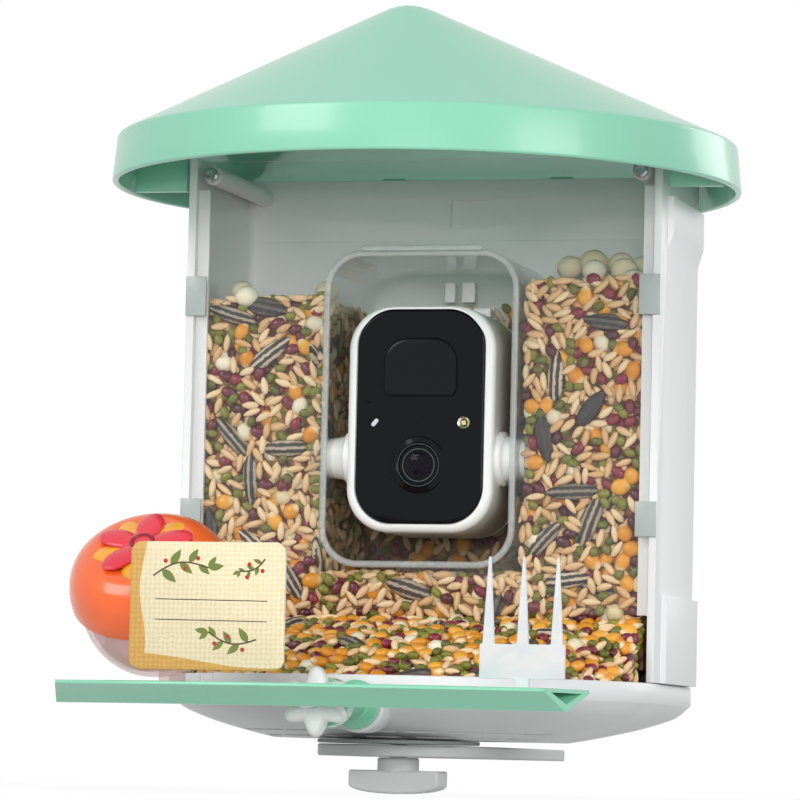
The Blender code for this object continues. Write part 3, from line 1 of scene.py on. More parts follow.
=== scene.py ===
"""Smart bird feeder in its photograph's view: a round mint roof over a white seed hopper with a clear
front, a camera in a pocket of that front, mixed seed, a tray, and a perch with three plug-in extras.

The frame is in metres, with X to the right, Y to the back and Z up.
"""
import math
import random

import bmesh
import bpy
import numpy as np
from mathutils import Matrix, Vector


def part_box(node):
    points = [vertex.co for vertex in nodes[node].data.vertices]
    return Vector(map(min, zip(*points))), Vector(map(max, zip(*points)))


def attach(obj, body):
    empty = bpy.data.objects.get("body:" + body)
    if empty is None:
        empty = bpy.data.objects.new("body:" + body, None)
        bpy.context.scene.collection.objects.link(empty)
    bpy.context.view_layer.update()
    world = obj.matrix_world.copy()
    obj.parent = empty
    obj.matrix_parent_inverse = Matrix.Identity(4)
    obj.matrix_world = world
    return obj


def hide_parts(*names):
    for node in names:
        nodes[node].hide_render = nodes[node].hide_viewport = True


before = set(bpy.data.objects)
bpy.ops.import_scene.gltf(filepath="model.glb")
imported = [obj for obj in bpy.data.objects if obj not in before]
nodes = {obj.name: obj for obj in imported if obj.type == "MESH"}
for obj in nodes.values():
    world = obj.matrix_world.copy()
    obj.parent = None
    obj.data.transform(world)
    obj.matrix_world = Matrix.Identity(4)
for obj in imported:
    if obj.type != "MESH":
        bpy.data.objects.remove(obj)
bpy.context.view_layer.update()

# The view: a long lens 1.7 m away, a little under the perch and to the right of the middle, so the
# right side of the hopper and the underside of the bowl show.
VIEW_PLACE = (0.4416, -1.6743, -0.0038)
VIEW_TURN, VIEW_TILT, VIEW_ROLL = 15.0, 4.53, 1.29     # degrees
VIEW_SENSOR_MM, VIEW_LENS_MM = 36, 208.55


def turned(degrees, axis):
    """A turn about an axis."""
    return Matrix.Rotation(math.radians(degrees), 4, axis)


def in_scene(name, data):
    """A new object, linked into the scene."""
    made = bpy.data.objects.new(name, data)
    bpy.context.scene.collection.objects.link(made)
    return made


view = bpy.data.cameras.new("photo_view")
view.sensor_width = VIEW_SENSOR_MM
view.lens = VIEW_LENS_MM
view_object = in_scene("photo_view", view)
view_object.matrix_world = (Matrix.Translation(VIEW_PLACE) @ turned(VIEW_TURN, "Z")
                            @ turned(90 + VIEW_TILT, "X") @ turned(VIEW_ROLL, "Z"))
bpy.context.scene.camera = view_object
bpy.context.scene.view_settings.view_transform = "Standard"


# Studio light: four soft lamps, high on the left, at the right, low in front and behind, and an even
# fill. What looks straight at the background, or mirrors it, sees plain white.
FILL_LEVEL = 0.40
LAMP_AIM = Vector((0, 0, 0.14))
LAMPS = (("key_lamp", (-1.3, -1.9, 1.5), 1.3, 24.0),       # place, width and watts
         ("side_lamp", (1.9, -1.2, 0.5), 1.0, 11.0),
         ("front_lamp", (0.45, -2.3, 0.30), 0.8, 27.0),
         ("rear_lamp", (1.5, 1.9, 0.9), 1.2, 12.0))


def linear(code):
    """An sRGB hex value as the linear colour that a shader takes."""
    channels = [int(code[i:i + 2], 16) / 255 for i in (0, 2, 4)]
    return [c / 12.92 if c <= 0.04045 else ((c + 0.055) / 1.055) ** 2.4 for c in channels] + [1.0]


def feed(tree, node, inputs):
    """Feed a node's sockets with links or plain values."""
    for name, value in inputs.items():
        if isinstance(value, bpy.types.NodeSocket):
            tree.links.new(value, node.inputs[name])
        else:
            node.inputs[name].default_value = value
    return node


def add(tree, kind, inputs=None, **settings):
    """Add a shader node with its settings, and feed its sockets."""
    made = tree.nodes.new("ShaderNode" + kind)
    for name, value in settings.items():
        setattr(made, name, value)
    return feed(tree, made, inputs or {})


def maths(tree, operation, *values, **settings):
    """What a maths node gives for values or links, in their order."""
    return add(tree, "Math", dict(enumerate(values)), operation=operation, **settings).outputs[0]


def white_for_rays(tree):
    """One for rays that look at, mirror or pass on the background, and zero for the rest."""
    path = add(tree, "LightPath").outputs
    either = maths(tree, "MAXIMUM", path["Is Camera Ray"], path["Is Glossy Ray"])
    return maths(tree, "MAXIMUM", either, path["Is Transmission Ray"])


world = bpy.data.worlds.new("studio")
bpy.context.scene.world = world
world.use_nodes = True
world.node_tree.nodes.clear()
fill = add(world.node_tree, "Background", {"Color": linear("F7FAFC"), "Strength": FILL_LEVEL})
seen = add(world.node_tree, "Background", {"Color": linear("FFFFFF"), "Strength": 1.0})
choice = add(world.node_tree, "MixShader", {0: white_for_rays(world.node_tree), 1: fill.outputs[0],
                                            2: seen.outputs[0]})
add(world.node_tree, "OutputWorld", {"Surface": choice.outputs[0]})

for name, place, width, power in LAMPS:
    light = bpy.data.lights.new(name, "AREA")
    light.size = width
    light.energy = power
    lamp = in_scene(name, light)
    aim = LAMP_AIM - Vector(place)
    lamp.matrix_world = Matrix.Translation(place) @ aim.to_track_quat("-Z", "Y").to_matrix().to_4x4()
    lamp.visible_glossy = name != "front_lamp"        # its mirror image would veil the clear window


# The floor: matt white paper, pale and plain, just under the hand screw. Rays from the camera see it
# mostly as plain white, and a faint soft shadow stays round the feeder.
FLOOR_SIZE, FLOOR_GAP = 6.0, 0.0002
FLOOR_WHITE_SHARE = 0.95         # near the object, growing to plain white further out
FLOOR_FADE = (0.06, 0.45)


def mesh_of(bm, name):
    """The mesh of a finished bmesh."""
    mesh = bpy.data.meshes.new(name)
    bm.to_mesh(mesh)
    bm.free()
    return mesh


def blank(name):
    """A new material, its node tree and its main shader."""
    made = bpy.data.materials.new(name)
    made.use_nodes = True
    return made, made.node_tree, made.node_tree.nodes["Principled BSDF"]


def ramp(tree, value, source=(0.0, 1.0), target=(0.0, 1.0), ease="LINEAR"):
    """A value carried over from one span to another."""
    spans = {"From Min": source[0], "From Max": source[1], "To Min": target[0], "To Max": target[1]}
    return add(tree, "MapRange", {"Value": value, **spans}, interpolation_type=ease).outputs[0]


floor_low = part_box("hand_screw")[0][2] - FLOOR_GAP
bm = bmesh.new()
bmesh.ops.create_grid(bm, x_segments=1, y_segments=1, size=FLOOR_SIZE,
                      matrix=Matrix.Translation((0, 0, floor_low)))
floor = in_scene("floor", mesh_of(bm, "floor"))
paper, tree, shader = blank("white_paper")
tree.nodes.remove(shader)
matte = add(tree, "BsdfDiffuse", {"Color": linear("C4C5C4")})
bright = add(tree, "Emission", {"Color": linear("FFFFFF"), "Strength": 1.0})
far = add(tree, "VectorMath", {0: add(tree, "TexCoord").outputs["Object"]}, operation="LENGTH")
paper_white = ramp(tree, far.outputs["Value"], FLOOR_FADE, (FLOOR_WHITE_SHARE, 1.0), "SMOOTHSTEP")
share = maths(tree, "MULTIPLY", white_for_rays(tree), paper_white)
both = add(tree, "MixShader", {0: share, 1: matte.outputs[0], 2: bright.outputs[0]})
feed(tree, tree.nodes["Material Output"], {"Surface": both.outputs[0]})
floor.data.materials.append(paper)


# Hopper shell: the white box that holds the seed, injection moulded in ABS with a fine satin skin. Its
# clips hold the window, and its edges are broken by the mould's small radius.
HOPPER_EDGE = 0.0006
CLIP_INSIDE, CLIPS_LOW, CLIPS_HIGH = 0.083, 0.080, 0.184      # where the shell's clips are
SIDES = ((-1, "left"), (1, "right"))
FLOW_MM, GLOSS_PATCH_MM = 38, 9               # the melt's flow marks, and patches of worn gloss


def blend(tree, share, first, second):
    """A colour between two others."""
    return add(tree, "Mix", {"Factor": share, 6: first, 7: second}, data_type="RGBA").outputs[2]


def noise(tree, where, size_mm, detail):
    """Soft noise whose patches have a size."""
    return add(tree, "TexNoise", {"Vector": where, "Scale": 1000 / size_mm, "Detail": detail}).outputs[0]


def moulded(name, code, roughness, skin_mm=1.3, skin_depth_mm=0.003, shade=0.05, coat=0.0,
            gloss_spread=0.04, **more):
    """A moulded plastic: fine tool texture, faint flow shading and a gloss that varies a little."""
    made, tree, shader = blank(name)
    where = add(tree, "TexCoord").outputs["Object"]
    colour = linear(code)
    deep = [c * (1 - shade) for c in colour[:3]] + [1]
    gloss = ramp(tree, noise(tree, where, GLOSS_PATCH_MM, 4.0), (0.3, 0.7),
                 (roughness - gloss_spread, roughness + gloss_spread))
    bump = add(tree, "Bump", {"Height": noise(tree, where, skin_mm, 2.0),
                              "Distance": skin_depth_mm / 1000, "Strength": 0.6})
    feed(tree, shader, {"Base Color": blend(tree, noise(tree, where, FLOW_MM, 3.0), deep, colour),
                        "Roughness": gloss, "Normal": bump.outputs[0], "IOR": 1.53,
                        "Coat Weight": coat, "Coat Roughness": 0.08, **more})
    return made


def piece(name, bm, material, body, *stands_for, slot=None, smooth=32):
    """Finish a mesh as a piece that rides on a body and stands for solids of the frame. Its slot is not
    used.
    """
    mesh = mesh_of(bm, name)
    mesh.shade_smooth()
    mesh.set_sharp_from_angle(angle=math.radians(smooth))
    mesh.materials.append(material)
    made = in_scene(name, mesh)
    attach(made, body)
    if stands_for:
        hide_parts(*stands_for)
    return made


def broken_edges(bm, width, segments=2, over=38):
    """Round each edge that is sharper than an angle in degrees."""
    sharp = [e for e in bm.edges if e.is_manifold and e.calc_face_angle() > math.radians(over)]
    bmesh.ops.bevel(bm, geom=sharp, offset=width, offset_type="OFFSET", affect="EDGES",
                    segments=segments, profile=0.5, material=-1, clamp_overlap=True)
    return bm


def from_solid(node, edge=0.0, segments=2):
    """A welded copy of a solid of the frame, with flat faces made whole and its edges broken."""
    bm = bmesh.new()
    bm.from_mesh(nodes[node].data)
    bmesh.ops.remove_doubles(bm, verts=bm.verts, dist=0.000004)
    bmesh.ops.dissolve_limit(bm, angle_limit=math.radians(0.4), verts=bm.verts, edges=bm.edges)
    return broken_edges(bm, edge, segments) if edge else bm


def copied(name, node, material, body, slot, edge=0.0003, segments=2, smooth=32):
    """A piece made from a solid of the frame, which it stands for."""
    return piece(name, from_solid(node, edge, segments), material, body, node, slot=slot, smooth=smooth)


# ABS from a fine satin mould: white with a broad soft shine. The clips look greyer and smoother.
white_abs = moulded("white_moulded_abs", "EDEEEE", 0.42)
hopper = copied("hopper_shell_skin", "hopper_shell", white_abs, "feeder", "white_abs", HOPPER_EDGE)
hopper.data.materials.append(moulded("grey_window_clips", "AEB6B4", 0.30))
for face in hopper.data.polygons:
    x, y, z = face.center
    if y < -0.0001 and abs(x) > CLIP_INSIDE and CLIPS_LOW < z < CLIPS_HIGH:
        face.material_index = 1


# Bowl and tray: one white moulding under the hopper, square at the back and bowed at the front. Its rim
# is a flat band, two rows of drain slots run under the tray, and a boss in front takes the perch arm.
BOWL_HALF, BOWL_BACK, BOWL_CORNER, TRAY_REACH = 0.092, 0.076, 0.007, 0.0755
BOWL_RIM, BOWL_WALL, BOWL_EDGE = 0.029, 0.0024, 0.0005
BOWL_CURVE = ((0.0, 0.0220), (0.0060, 0.0170), (0.0170, 0.0125), (0.0300, 0.0088), (0.0400, 0.0065))
SLOT_LENGTH, SLOT_WIDTH, SLOT_SPREAD = 0.0135, 0.0018, 118    # the spread in degrees
SLOT_CUT_FROM, SLOT_CUT_HIGH = 0.005, 0.016
SLOT_ROWS = ((0.029, 9), (0.037, 7))          # inset from the rim, and count
BOSS_RADIUS, BOSS_LENGTH, BOSS_FRONT, BOSS_Z = 0.0100, 0.0150, 0.0760, 0.0182


def bow(centre_a, centre_b, radius, start, end, steps=8):
    """Points along an arc between two angles in degrees."""
    turns = (math.radians(start + (end - start) * i / steps) for i in range(steps + 1))
    return [(centre_a + radius * math.cos(t), centre_b + radius * math.sin(t)) for t in turns]


def skinned(rings, closed=False, capped=True):
    """A mesh skinned over rings of points, the same number in each, shut at its ends or into a loop."""
    bm = bmesh.new()
    loops = [[bm.verts.new(p) for p in points] for points in rings]
    for verts_a, verts_b in list(zip(loops, loops[1:])) + ([(loops[-1], loops[0])] if closed else []):
        for i in range(len(verts_a)):
            j = (i + 1) % len(verts_a)
            bm.faces.new((verts_a[i], verts_a[j], verts_b[j], verts_b[i]))
    if capped and not closed:
        bm.faces.new(loops[0])
        bm.faces.new(loops[-1])
    bmesh.ops.remove_doubles(bm, verts=bm.verts, dist=0.000005)
    bmesh.ops.recalc_face_normals(bm, faces=bm.faces)
    return bm


def bowl_ring(inset, z):
    """A level ring of the bowl's outline, drawn in by an inset."""
    half, corner = BOWL_HALF - inset, max(BOWL_CORNER - inset, 0.001)
    points = [(half * math.cos(t), (TRAY_REACH - inset) * math.sin(t))
              for t in (math.pi * (1 + i / 96) for i in range(97))]
    points += bow(half - corner, BOWL_BACK - inset - corner, corner, 0, 90, 8)
    points += bow(corner - half, BOWL_BACK - inset - corner, corner, 90, 180, 8)
    return [(x, y, z) for x, y in points]


def eased(points, steps=5):
    """A smooth line through points, by a spline that passes each of them."""
    line = []
    for i in range(len(points) - 1):
        four = [Vector(points[max(0, min(len(points) - 1, i + k))]) for k in (-1, 0, 1, 2)]
        for step in range(steps):
            t = step / steps
            line.append(0.5 * (2 * four[1] + (four[2] - four[0]) * t
                               + (2 * four[0] - 5 * four[1] + 4 * four[2] - four[3]) * t ** 2
                               + (3 * four[1] - four[0] - 3 * four[2] + four[3]) * t ** 3))
    return [tuple(p) for p in line] + [points[-1]]


def cut_away(made, cutters, smooth=40):
    """Cut the closed shapes of a mesh out of a piece."""
    cutter = in_scene("cutter", mesh_of(cutters, "cutter"))
    cut = made.modifiers.new("holes", "BOOLEAN")
    cut.operation = "DIFFERENCE"
    cut.solver = "EXACT"
    cut.object = cutter
    finished = bpy.data.meshes.new_from_object(
        made.evaluated_get(bpy.context.evaluated_depsgraph_get()))
    made.modifiers.clear()
    finished.shade_smooth()
    finished.set_sharp_from_angle(angle=math.radians(smooth))
    made.data = finished
    bpy.data.objects.remove(cutter)
    return made


def pulled(bm, faces, by=(0, 0, 0), keep=False):
    """Pull faces out by a vector with walls behind them, and give their corners."""
    grown = bmesh.ops.extrude_face_region(bm, geom=faces, use_keep_orig=keep)["geom"]
    corners = [part for part in grown if isinstance(part, bmesh.types.BMVert)]
    bmesh.ops.translate(bm, verts=corners, vec=by)
    return corners


bowl_line = eased(BOWL_CURVE)
rings = [bowl_ring(inset, z) for inset, z in bowl_line[::-1]]
rings += [bowl_ring(0.0, BOWL_RIM - BOWL_EDGE), bowl_ring(BOWL_EDGE, BOWL_RIM),
          bowl_ring(BOWL_WALL - BOWL_EDGE, BOWL_RIM), bowl_ring(BOWL_WALL, BOWL_RIM - BOWL_EDGE)]
rings += [bowl_ring(inset + BOWL_WALL, z + BOWL_WALL) for inset, z in bowl_line[1:]]
bowl = piece("bowl_and_tray", skinned(rings), white_abs, "feeder", "base_tray", slot="white_abs",
             smooth=50)
slots = bmesh.new()
for inset, count in SLOT_ROWS:
    for i in range(count):
        angle = math.radians(-90 + SLOT_SPREAD * (i / (count - 1) - 0.5))
        reach_x, reach_y = BOWL_HALF - inset, TRAY_REACH - inset
        heading = math.atan2(reach_y * math.cos(angle), -reach_x * math.sin(angle))
        middle = Vector((reach_x * math.cos(angle), reach_y * math.sin(angle), SLOT_CUT_FROM))
        disc = bmesh.ops.create_circle(slots, cap_ends=True, segments=24, radius=SLOT_WIDTH / 2,
                                       matrix=Matrix.Translation(middle)
                                       @ Matrix.Rotation(heading, 4, "Z"))["verts"]
        along = Vector((math.cos(heading), math.sin(heading), 0)) * (SLOT_LENGTH - SLOT_WIDTH) / 2
        for vert in disc:
            vert.co += along if (vert.co - middle).dot(along) > 0 else -along
        foot = [face for face in slots.faces if disc[0] in face.verts]
        pulled(slots, foot, (0, 0, SLOT_CUT_HIGH), keep=True)
bmesh.ops.recalc_face_normals(slots, faces=slots.faces)
cut_away(bowl, slots, smooth=50)
bm = bmesh.new()
bmesh.ops.create_cone(bm, cap_ends=True, segments=72, radius1=BOSS_RADIUS, radius2=BOSS_RADIUS,
                      depth=BOSS_LENGTH, matrix=Matrix.Translation(
                          (0, BOSS_LENGTH / 2 - BOSS_FRONT, BOSS_Z)) @ turned(90, "X"))
piece("perch_boss", broken_edges(bm, 0.0006, 3, 60), white_abs, "feeder", smooth=42)


# Roof: an oblique cone in glossy mint ABS with a turned-down brim, which swings up on two rear hinges.
# The tip is blunt, the brim flares out to a rounded lip, and a lug hangs down at each side.
ROOF_RADIUS, ROOF_CENTRE_Y, ROOF_LIP_Z, ROOF_RIM_Z = 0.1185, 0.006, 0.213, 0.2310
ROOF_LEAN = -0.033                # from the brim's centre to the tip
ROOF_RISE = 0.0495
ROOF_WALL = 0.0024
ROOF_TIP = 0.010                  # radius of the blunt tip
ROOF_LIP, ROOF_SHOULDER = 0.0011, 0.0018      # radii of the brim's lip and of its upper edge
ROOF_STEPS = 144


def spun(profile, steps=96):
    """A turned mesh round Z from the points of its profile, (radius, height) each."""
    bm = bmesh.new()
    verts = [bm.verts.new((r, 0, z)) for r, z in profile]
    edges = [bm.edges.new(pair) for pair in zip(verts, verts[1:])]
    if profile[0][0] > 0 and profile[-1][0] > 0:
        edges.append(bm.edges.new((verts[-1], verts[0])))
    bmesh.ops.spin(bm, geom=verts + edges, cent=(0, 0, 0), axis=(0, 0, 1), angle=2 * math.pi,
                   steps=steps, use_merge=True)
    bmesh.ops.remove_doubles(bm, verts=bm.verts, dist=0.00001)
    bmesh.ops.recalc_face_normals(bm, faces=bm.faces)
    return bm


cone_radius = ROOF_RADIUS - 0.0031
slope = ROOF_RISE / cone_radius


def cone_height(radius):
    """Height over the rim of the cone with its blunt tip."""
    if radius > ROOF_TIP:
        return slope * (cone_radius - radius)
    return slope * (cone_radius - ROOF_TIP) + slope * ROOF_TIP / 2 * (1 - (radius / ROOF_TIP) ** 2)


radii = [cone_radius * share for share in (0.92, 0.8, 0.66, 0.52, 0.38, 0.25, 0.15)]
radii += [ROOF_TIP * share for share in (1.0, 0.75, 0.5, 0.25, 0.0)]
outside = bow(ROOF_RADIUS - ROOF_LIP, ROOF_LIP_Z + ROOF_LIP, ROOF_LIP, -90, 0, 4)
outside += [(ROOF_RADIUS - 0.0008, 0.2215)]
outside += bow(cone_radius - 0.0002, ROOF_RIM_Z - ROOF_SHOULDER, ROOF_SHOULDER, 4, 64, 5)
outside += [(r, ROOF_RIM_Z + cone_height(r)) for r in radii]
inside = [(r, z - ROOF_WALL) for r, z in outside[::-1] if r < cone_radius - 0.002]
inside += [(cone_radius - ROOF_WALL * 0.8, ROOF_RIM_Z - ROOF_WALL * 1.7),
           (ROOF_RADIUS - ROOF_WALL, ROOF_LIP_Z + ROOF_LIP)]
inside += bow(ROOF_RADIUS - ROOF_WALL + ROOF_LIP, ROOF_LIP_Z + ROOF_LIP, ROOF_LIP, 180, 255, 3)
bm = spun(outside + inside, ROOF_STEPS)
for vert in bm.verts:
    radius = math.hypot(vert.co.x, vert.co.y)
    vert.co.y += ROOF_CENTRE_Y + ROOF_LEAN * max(0.0, 1 - radius / cone_radius)


def polished(name, code, roughness, coat):
    """A plastic from a polished mould: one even colour with a clear, sharp shine."""
    return moulded(name, code, roughness, skin_depth_mm=0.0, shade=0.0, coat=coat, gloss_spread=0.0)


mint_abs = polished("mint_moulded_abs", "88CDB0", 0.27, 0.25)
piece("roof_shell", bm, mint_abs, "roof", "roof", slot="mint_abs", smooth=50)

LUG_MIDDLE, LUG_SIZE = (0.10415, 0.004, 0.22125), (0.0207, 0.0028, 0.0155)
HINGE_Y, HINGE_Z, HINGE_X = 0.083, 0.218, 0.034
BARREL_HALF, BARREL_BORE, BARREL_RADIUS = 0.005, 0.0019, 0.0038


def block(bm, centre, size, turn=Matrix()):
    """Add a box by its centre and its size."""
    bmesh.ops.create_cube(bm, size=1, matrix=Matrix.Translation(centre) @ turn
                          @ Matrix.Diagonal((*size, 1)))
    return bm


for side, hand in SIDES:
    x, y, z = LUG_MIDDLE
    piece(f"roof_lug_{hand}", broken_edges(block(bmesh.new(), (side * x, y, z), LUG_SIZE), 0.0005),
          mint_abs, "roof")
for side, hand in SIDES:
    bm = spun([(BARREL_BORE, -BARREL_HALF), (BARREL_RADIUS, -BARREL_HALF),
               (BARREL_RADIUS, BARREL_HALF), (BARREL_BORE, BARREL_HALF)], 48)
    bm.transform(Matrix.Translation((side * HINGE_X, HINGE_Y, HINGE_Z)) @ turned(90, "Y"))
    block(bm, (side * HINGE_X, HINGE_Y + 0.0022, HINGE_Z + 0.0066), (BARREL_HALF * 1.76, 0.0030, 0.0072))
    piece(f"roof_barrel_{hand}", bm, mint_abs, "roof")


# Roof hinge pins: two short steel pins, zinc plated and pressed through the white ears at the hopper's
# back, so that the roof's barrels turn on them.


def bare_metal(name, code, roughness, skin_mm, skin_depth_mm=0.003):
    """A metal with no paint: it mirrors in its own colour."""
    return moulded(name, code, roughness, skin_mm, skin_depth_mm, **{"Metallic": 1.0, "IOR": 1.5})


# Steel under bright zinc: a cool grey mirror, a little blurred by the plating.
zinc = bare_metal("zinc_plated_steel", "B9BCC0", 0.28, 0.5, 0.002)
for hand in ("left", "right"):
    copied(f"hinge_pin_{hand}", f"roof_hinge_pin_{hand}", zinc, "feeder", "zinc_steel", 0.0002)


# Front window: one clear polycarbonate moulding, a flat sheet with a deep pocket for the camera. The
# pocket's mouth has a thick rounded lip, and a round socket stands out at each side of it.
SHEET_FRONT, SHEET_BACK = 0.0003, 0.0028
SHEET_HALF, SHEET_LOW, SHEET_HIGH, SHEET_CORNER = 0.0887, 0.054, 0.2245, 0.002
POCKET_HALF, POCKET_LOW, POCKET_HIGH, POCKET_CORNER = 0.0375, 0.071, 0.190, 0.0145
POCKET_WALL, POCKET_BACK = 0.0018, 0.066
LIP_RADIUS = 0.0013
BROW_MIDDLE, BROW_SIZE = (0, 0.0005, 0.1908), (0.047, 0.0034, 0.0024)
CORNER_STEPS = 12
WAVE_MM = 24                      # slow waves in a moulded sheet


def frame_ring(half, low, high, corner, y, centre=0.0):
    """The points of an upright rounded rectangle at a depth, the same number for every size."""
    points = []
    for a, b, start in ((1, 1, 0), (-1, 1, 90), (-1, -1, 180), (1, -1, 270)):
        middle = (low + high) / 2
        points += bow(a * (half - corner), middle + b * ((high - low) / 2 - corner), corner, start,
                      start + 90, CORNER_STEPS)
    return [(centre + x, y, z) for x, z in points]


def sheet_ring(inset, y):
    """A ring of the sheet's outline."""
    return frame_ring(SHEET_HALF - inset, SHEET_LOW + inset, SHEET_HIGH - inset, SHEET_CORNER, y)


def outline(half, low, high, corner, centre=0.0):
    """A function that makes rings of an upright rounded rectangle, by inset and depth."""
    def ring(inset, y):
        return frame_ring(half - inset, low + inset, high - inset, corner - inset, y, centre)
    return ring


def clear(name, code, ior, roughness=0.03, haze=0.04, haze_code="FFFFFF"):
    """A clear moulded plastic: it passes what is behind it, mirrors more at a glancing angle, and its
    skin adds a faint white haze."""
    made, tree, shader = blank(name)
    tree.nodes.remove(shader)
    wave = noise(tree, add(tree, "TexCoord").outputs["Object"], WAVE_MM, 2.0)
    bump = add(tree, "Bump", {"Height": wave, "Distance": 0.0001, "Strength": 0.4}).outputs[0]
    smear = ramp(tree, wave, target=(roughness, roughness + 0.04))
    through = add(tree, "BsdfTransparent", {"Color": linear(code)})
    cloud = add(tree, "BsdfDiffuse", {"Color": linear(haze_code), "Normal": bump})
    gloss = add(tree, "BsdfGlossy", {"Roughness": smear, "Normal": bump})
    either_way = ramp(tree, add(tree, "NewGeometry").outputs["Backfacing"], target=(ior, 1 / ior))
    mirror = add(tree, "Fresnel", {"IOR": either_way, "Normal": bump})
    body = add(tree, "MixShader", {0: haze, 1: through.outputs[0], 2: cloud.outputs[0]})
    mixed = add(tree, "MixShader", {0: mirror.outputs[0], 1: body.outputs[0], 2: gloss.outputs[0]})
    feed(tree, tree.nodes["Material Output"], {"Surface": mixed.outputs[0]})
    return made


pocket_ring = outline(POCKET_HALF, POCKET_LOW, POCKET_HIGH, POCKET_CORNER)
# Polycarbonate from a polished mould: the flat sheet is nearly unseen, the deep pocket has a faint
# cloud, and its thick lip and socket edges gather light to a pale line, painted in as a highlight by a
# strong white haze on the lip and the brow.
clear_pc = clear("clear_polycarbonate", "FDFDFD", 1.36, haze=0.006)
pocket_pc = clear("clear_polycarbonate_pocket", "FBFCFB", 1.42, haze=0.05, haze_code="F2F5F2")
edge_pc = clear("clear_polycarbonate_edge", "F2F6F4", 1.5, roughness=0.12, haze=0.22)
bm = skinned([sheet_ring(0.0, SHEET_BACK), sheet_ring(0.0, SHEET_FRONT + 0.0004),
              sheet_ring(0.0004, SHEET_FRONT), pocket_ring(0.0, SHEET_FRONT),
              pocket_ring(0.0, SHEET_BACK)], closed=True)
piece("window_sheet", bm, clear_pc, "feeder", "front_window", slot="clear_pc", smooth=40)
bm = skinned([pocket_ring(0.0035, POCKET_BACK), pocket_ring(0.0008, POCKET_BACK - 0.0022),
              pocket_ring(0.0, POCKET_BACK - 0.0055), pocket_ring(0.0, SHEET_FRONT + 0.0010),
              pocket_ring(POCKET_WALL, SHEET_FRONT + 0.0010),
              pocket_ring(POCKET_WALL, POCKET_BACK - 0.008),
              pocket_ring(POCKET_WALL + 0.0012, POCKET_BACK - 0.0036),
              pocket_ring(POCKET_WALL + 0.0045, POCKET_BACK - POCKET_WALL)])
piece("window_pocket", bm, pocket_pc, "feeder", "front_window", slot="clear_pc", smooth=40)
bm = skinned([pocket_ring(POCKET_WALL / 2 - a, SHEET_FRONT + 0.0009 - b)
              for a, b in bow(0.0, 0.0, LIP_RADIUS, 0, 345, 23)], closed=True)
piece("window_pocket_lip", bm, edge_pc, "feeder", "front_window", slot="clear_pc", smooth=60)

SOCKET_Y, SOCKET_Z, SOCKET_RADIUS, SOCKET_REACH = 0.0156, 0.1125, 0.0125, 0.0430
SOCKET_BORE, SOCKET_EDGE = 0.0045, 0.0012


def on_pivot(profile, side, steps):
    """A turned mesh on the camera's tilt axis, from (radius, distance out to a side)."""
    bm = spun(profile, steps)
    bm.transform(Matrix.Translation((0, SOCKET_Y, SOCKET_Z)) @ turned(side * 90, "Y"))
    return bm


for side, hand in SIDES:
    bm = on_pivot([(SOCKET_BORE, POCKET_HALF), (SOCKET_RADIUS, POCKET_HALF),
                   (SOCKET_RADIUS, SOCKET_REACH - SOCKET_EDGE),
                   (SOCKET_RADIUS - SOCKET_EDGE, SOCKET_REACH), (SOCKET_BORE, SOCKET_REACH)], side, 64)
    piece(f"window_socket_{hand}", bm, pocket_pc, "feeder")
piece("pocket_brow", broken_edges(block(bmesh.new(), BROW_MIDDLE, BROW_SIZE), 0.0009, 3), edge_pc,
      "feeder")


# Window screws and pivot bushes: two small steel screws hold the window's top corners, and two grey
# bushes sit in the sockets for the camera's stubs. Two small white blocks hang over the camera.
SCREW_PROFILE = [(0, 0.0006), (0.0010, 0.0006), (0.0012, 0.0013), (0.0021, 0.0013), (0.0028, 0.0004),
                 (0.0028, 0), (0.0014, -0.0001), (0.0014, -0.009), (0, -0.0095)]
# ABS from a satin mould: a plain light grey with a dull shine.
grey_abs = moulded("grey_moulded_abs", "C9CCCB", 0.45)
for hand in ("left", "right"):
    low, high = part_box(f"window_screw_{hand}")
    middle_x, middle_z = (low.x + high.x) / 2, (low.z + high.z) / 2
    bm = spun(SCREW_PROFILE, 48)
    bm.transform(Matrix.Translation((middle_x, 0, middle_z)) @ turned(90, "X"))
    piece(f"window_screw_{hand}_head", bm, zinc, "feeder", f"window_screw_{hand}", slot="zinc_steel")
    copied(f"bush_{hand}", f"pivot_bush_{hand}", grey_abs, "feeder", "grey_abs", smooth=42)
    copied(f"pocket_block_{hand}_clip", f"pocket_block_{hand}", white_abs, "feeder", "white_abs",
           0.0005)


# Camera shell and back: a white satin ABS case with round corners, which tilts on two stubs. The front
# edge is drawn over the glass in a soft radius.
CASE_HALF, CASE_LOW, CASE_HIGH, CASE_CORNER = 0.0285, 0.084, 0.1695, 0.0165
CASE_FRONT, CASE_SEAM, CASE_BACK, CASE_EDGE = 0.003, 0.0428, 0.046, 0.003
GLASS_HALF, GLASS_LOW, GLASS_HIGH, GLASS_CORNER = 0.0245, 0.0873, 0.1682, 0.014
PIVOT_PROFILE = [(0, 0.0278), (0.0103, 0.0278), (0.0103, 0.0303), (0.0095, 0.0311), (0.0087, 0.0311),
                 (0.0081, 0.0330), (0.0072, 0.0392), (0, 0.0392)]
TAB_Y, TAB_Z, TAB_DEEP, TAB_HIGH = 0.0400, 0.1700, 0.0052, 0.0040
CASE_TABS = ((-0.0222, 0.0075), (-0.0030, 0.0105), (0.0145, 0.0070))      # place across, and width

case_ring = outline(CASE_HALF, CASE_LOW, CASE_HIGH, CASE_CORNER)
glass_ring = outline(GLASS_HALF, GLASS_LOW, GLASS_HIGH, GLASS_CORNER)
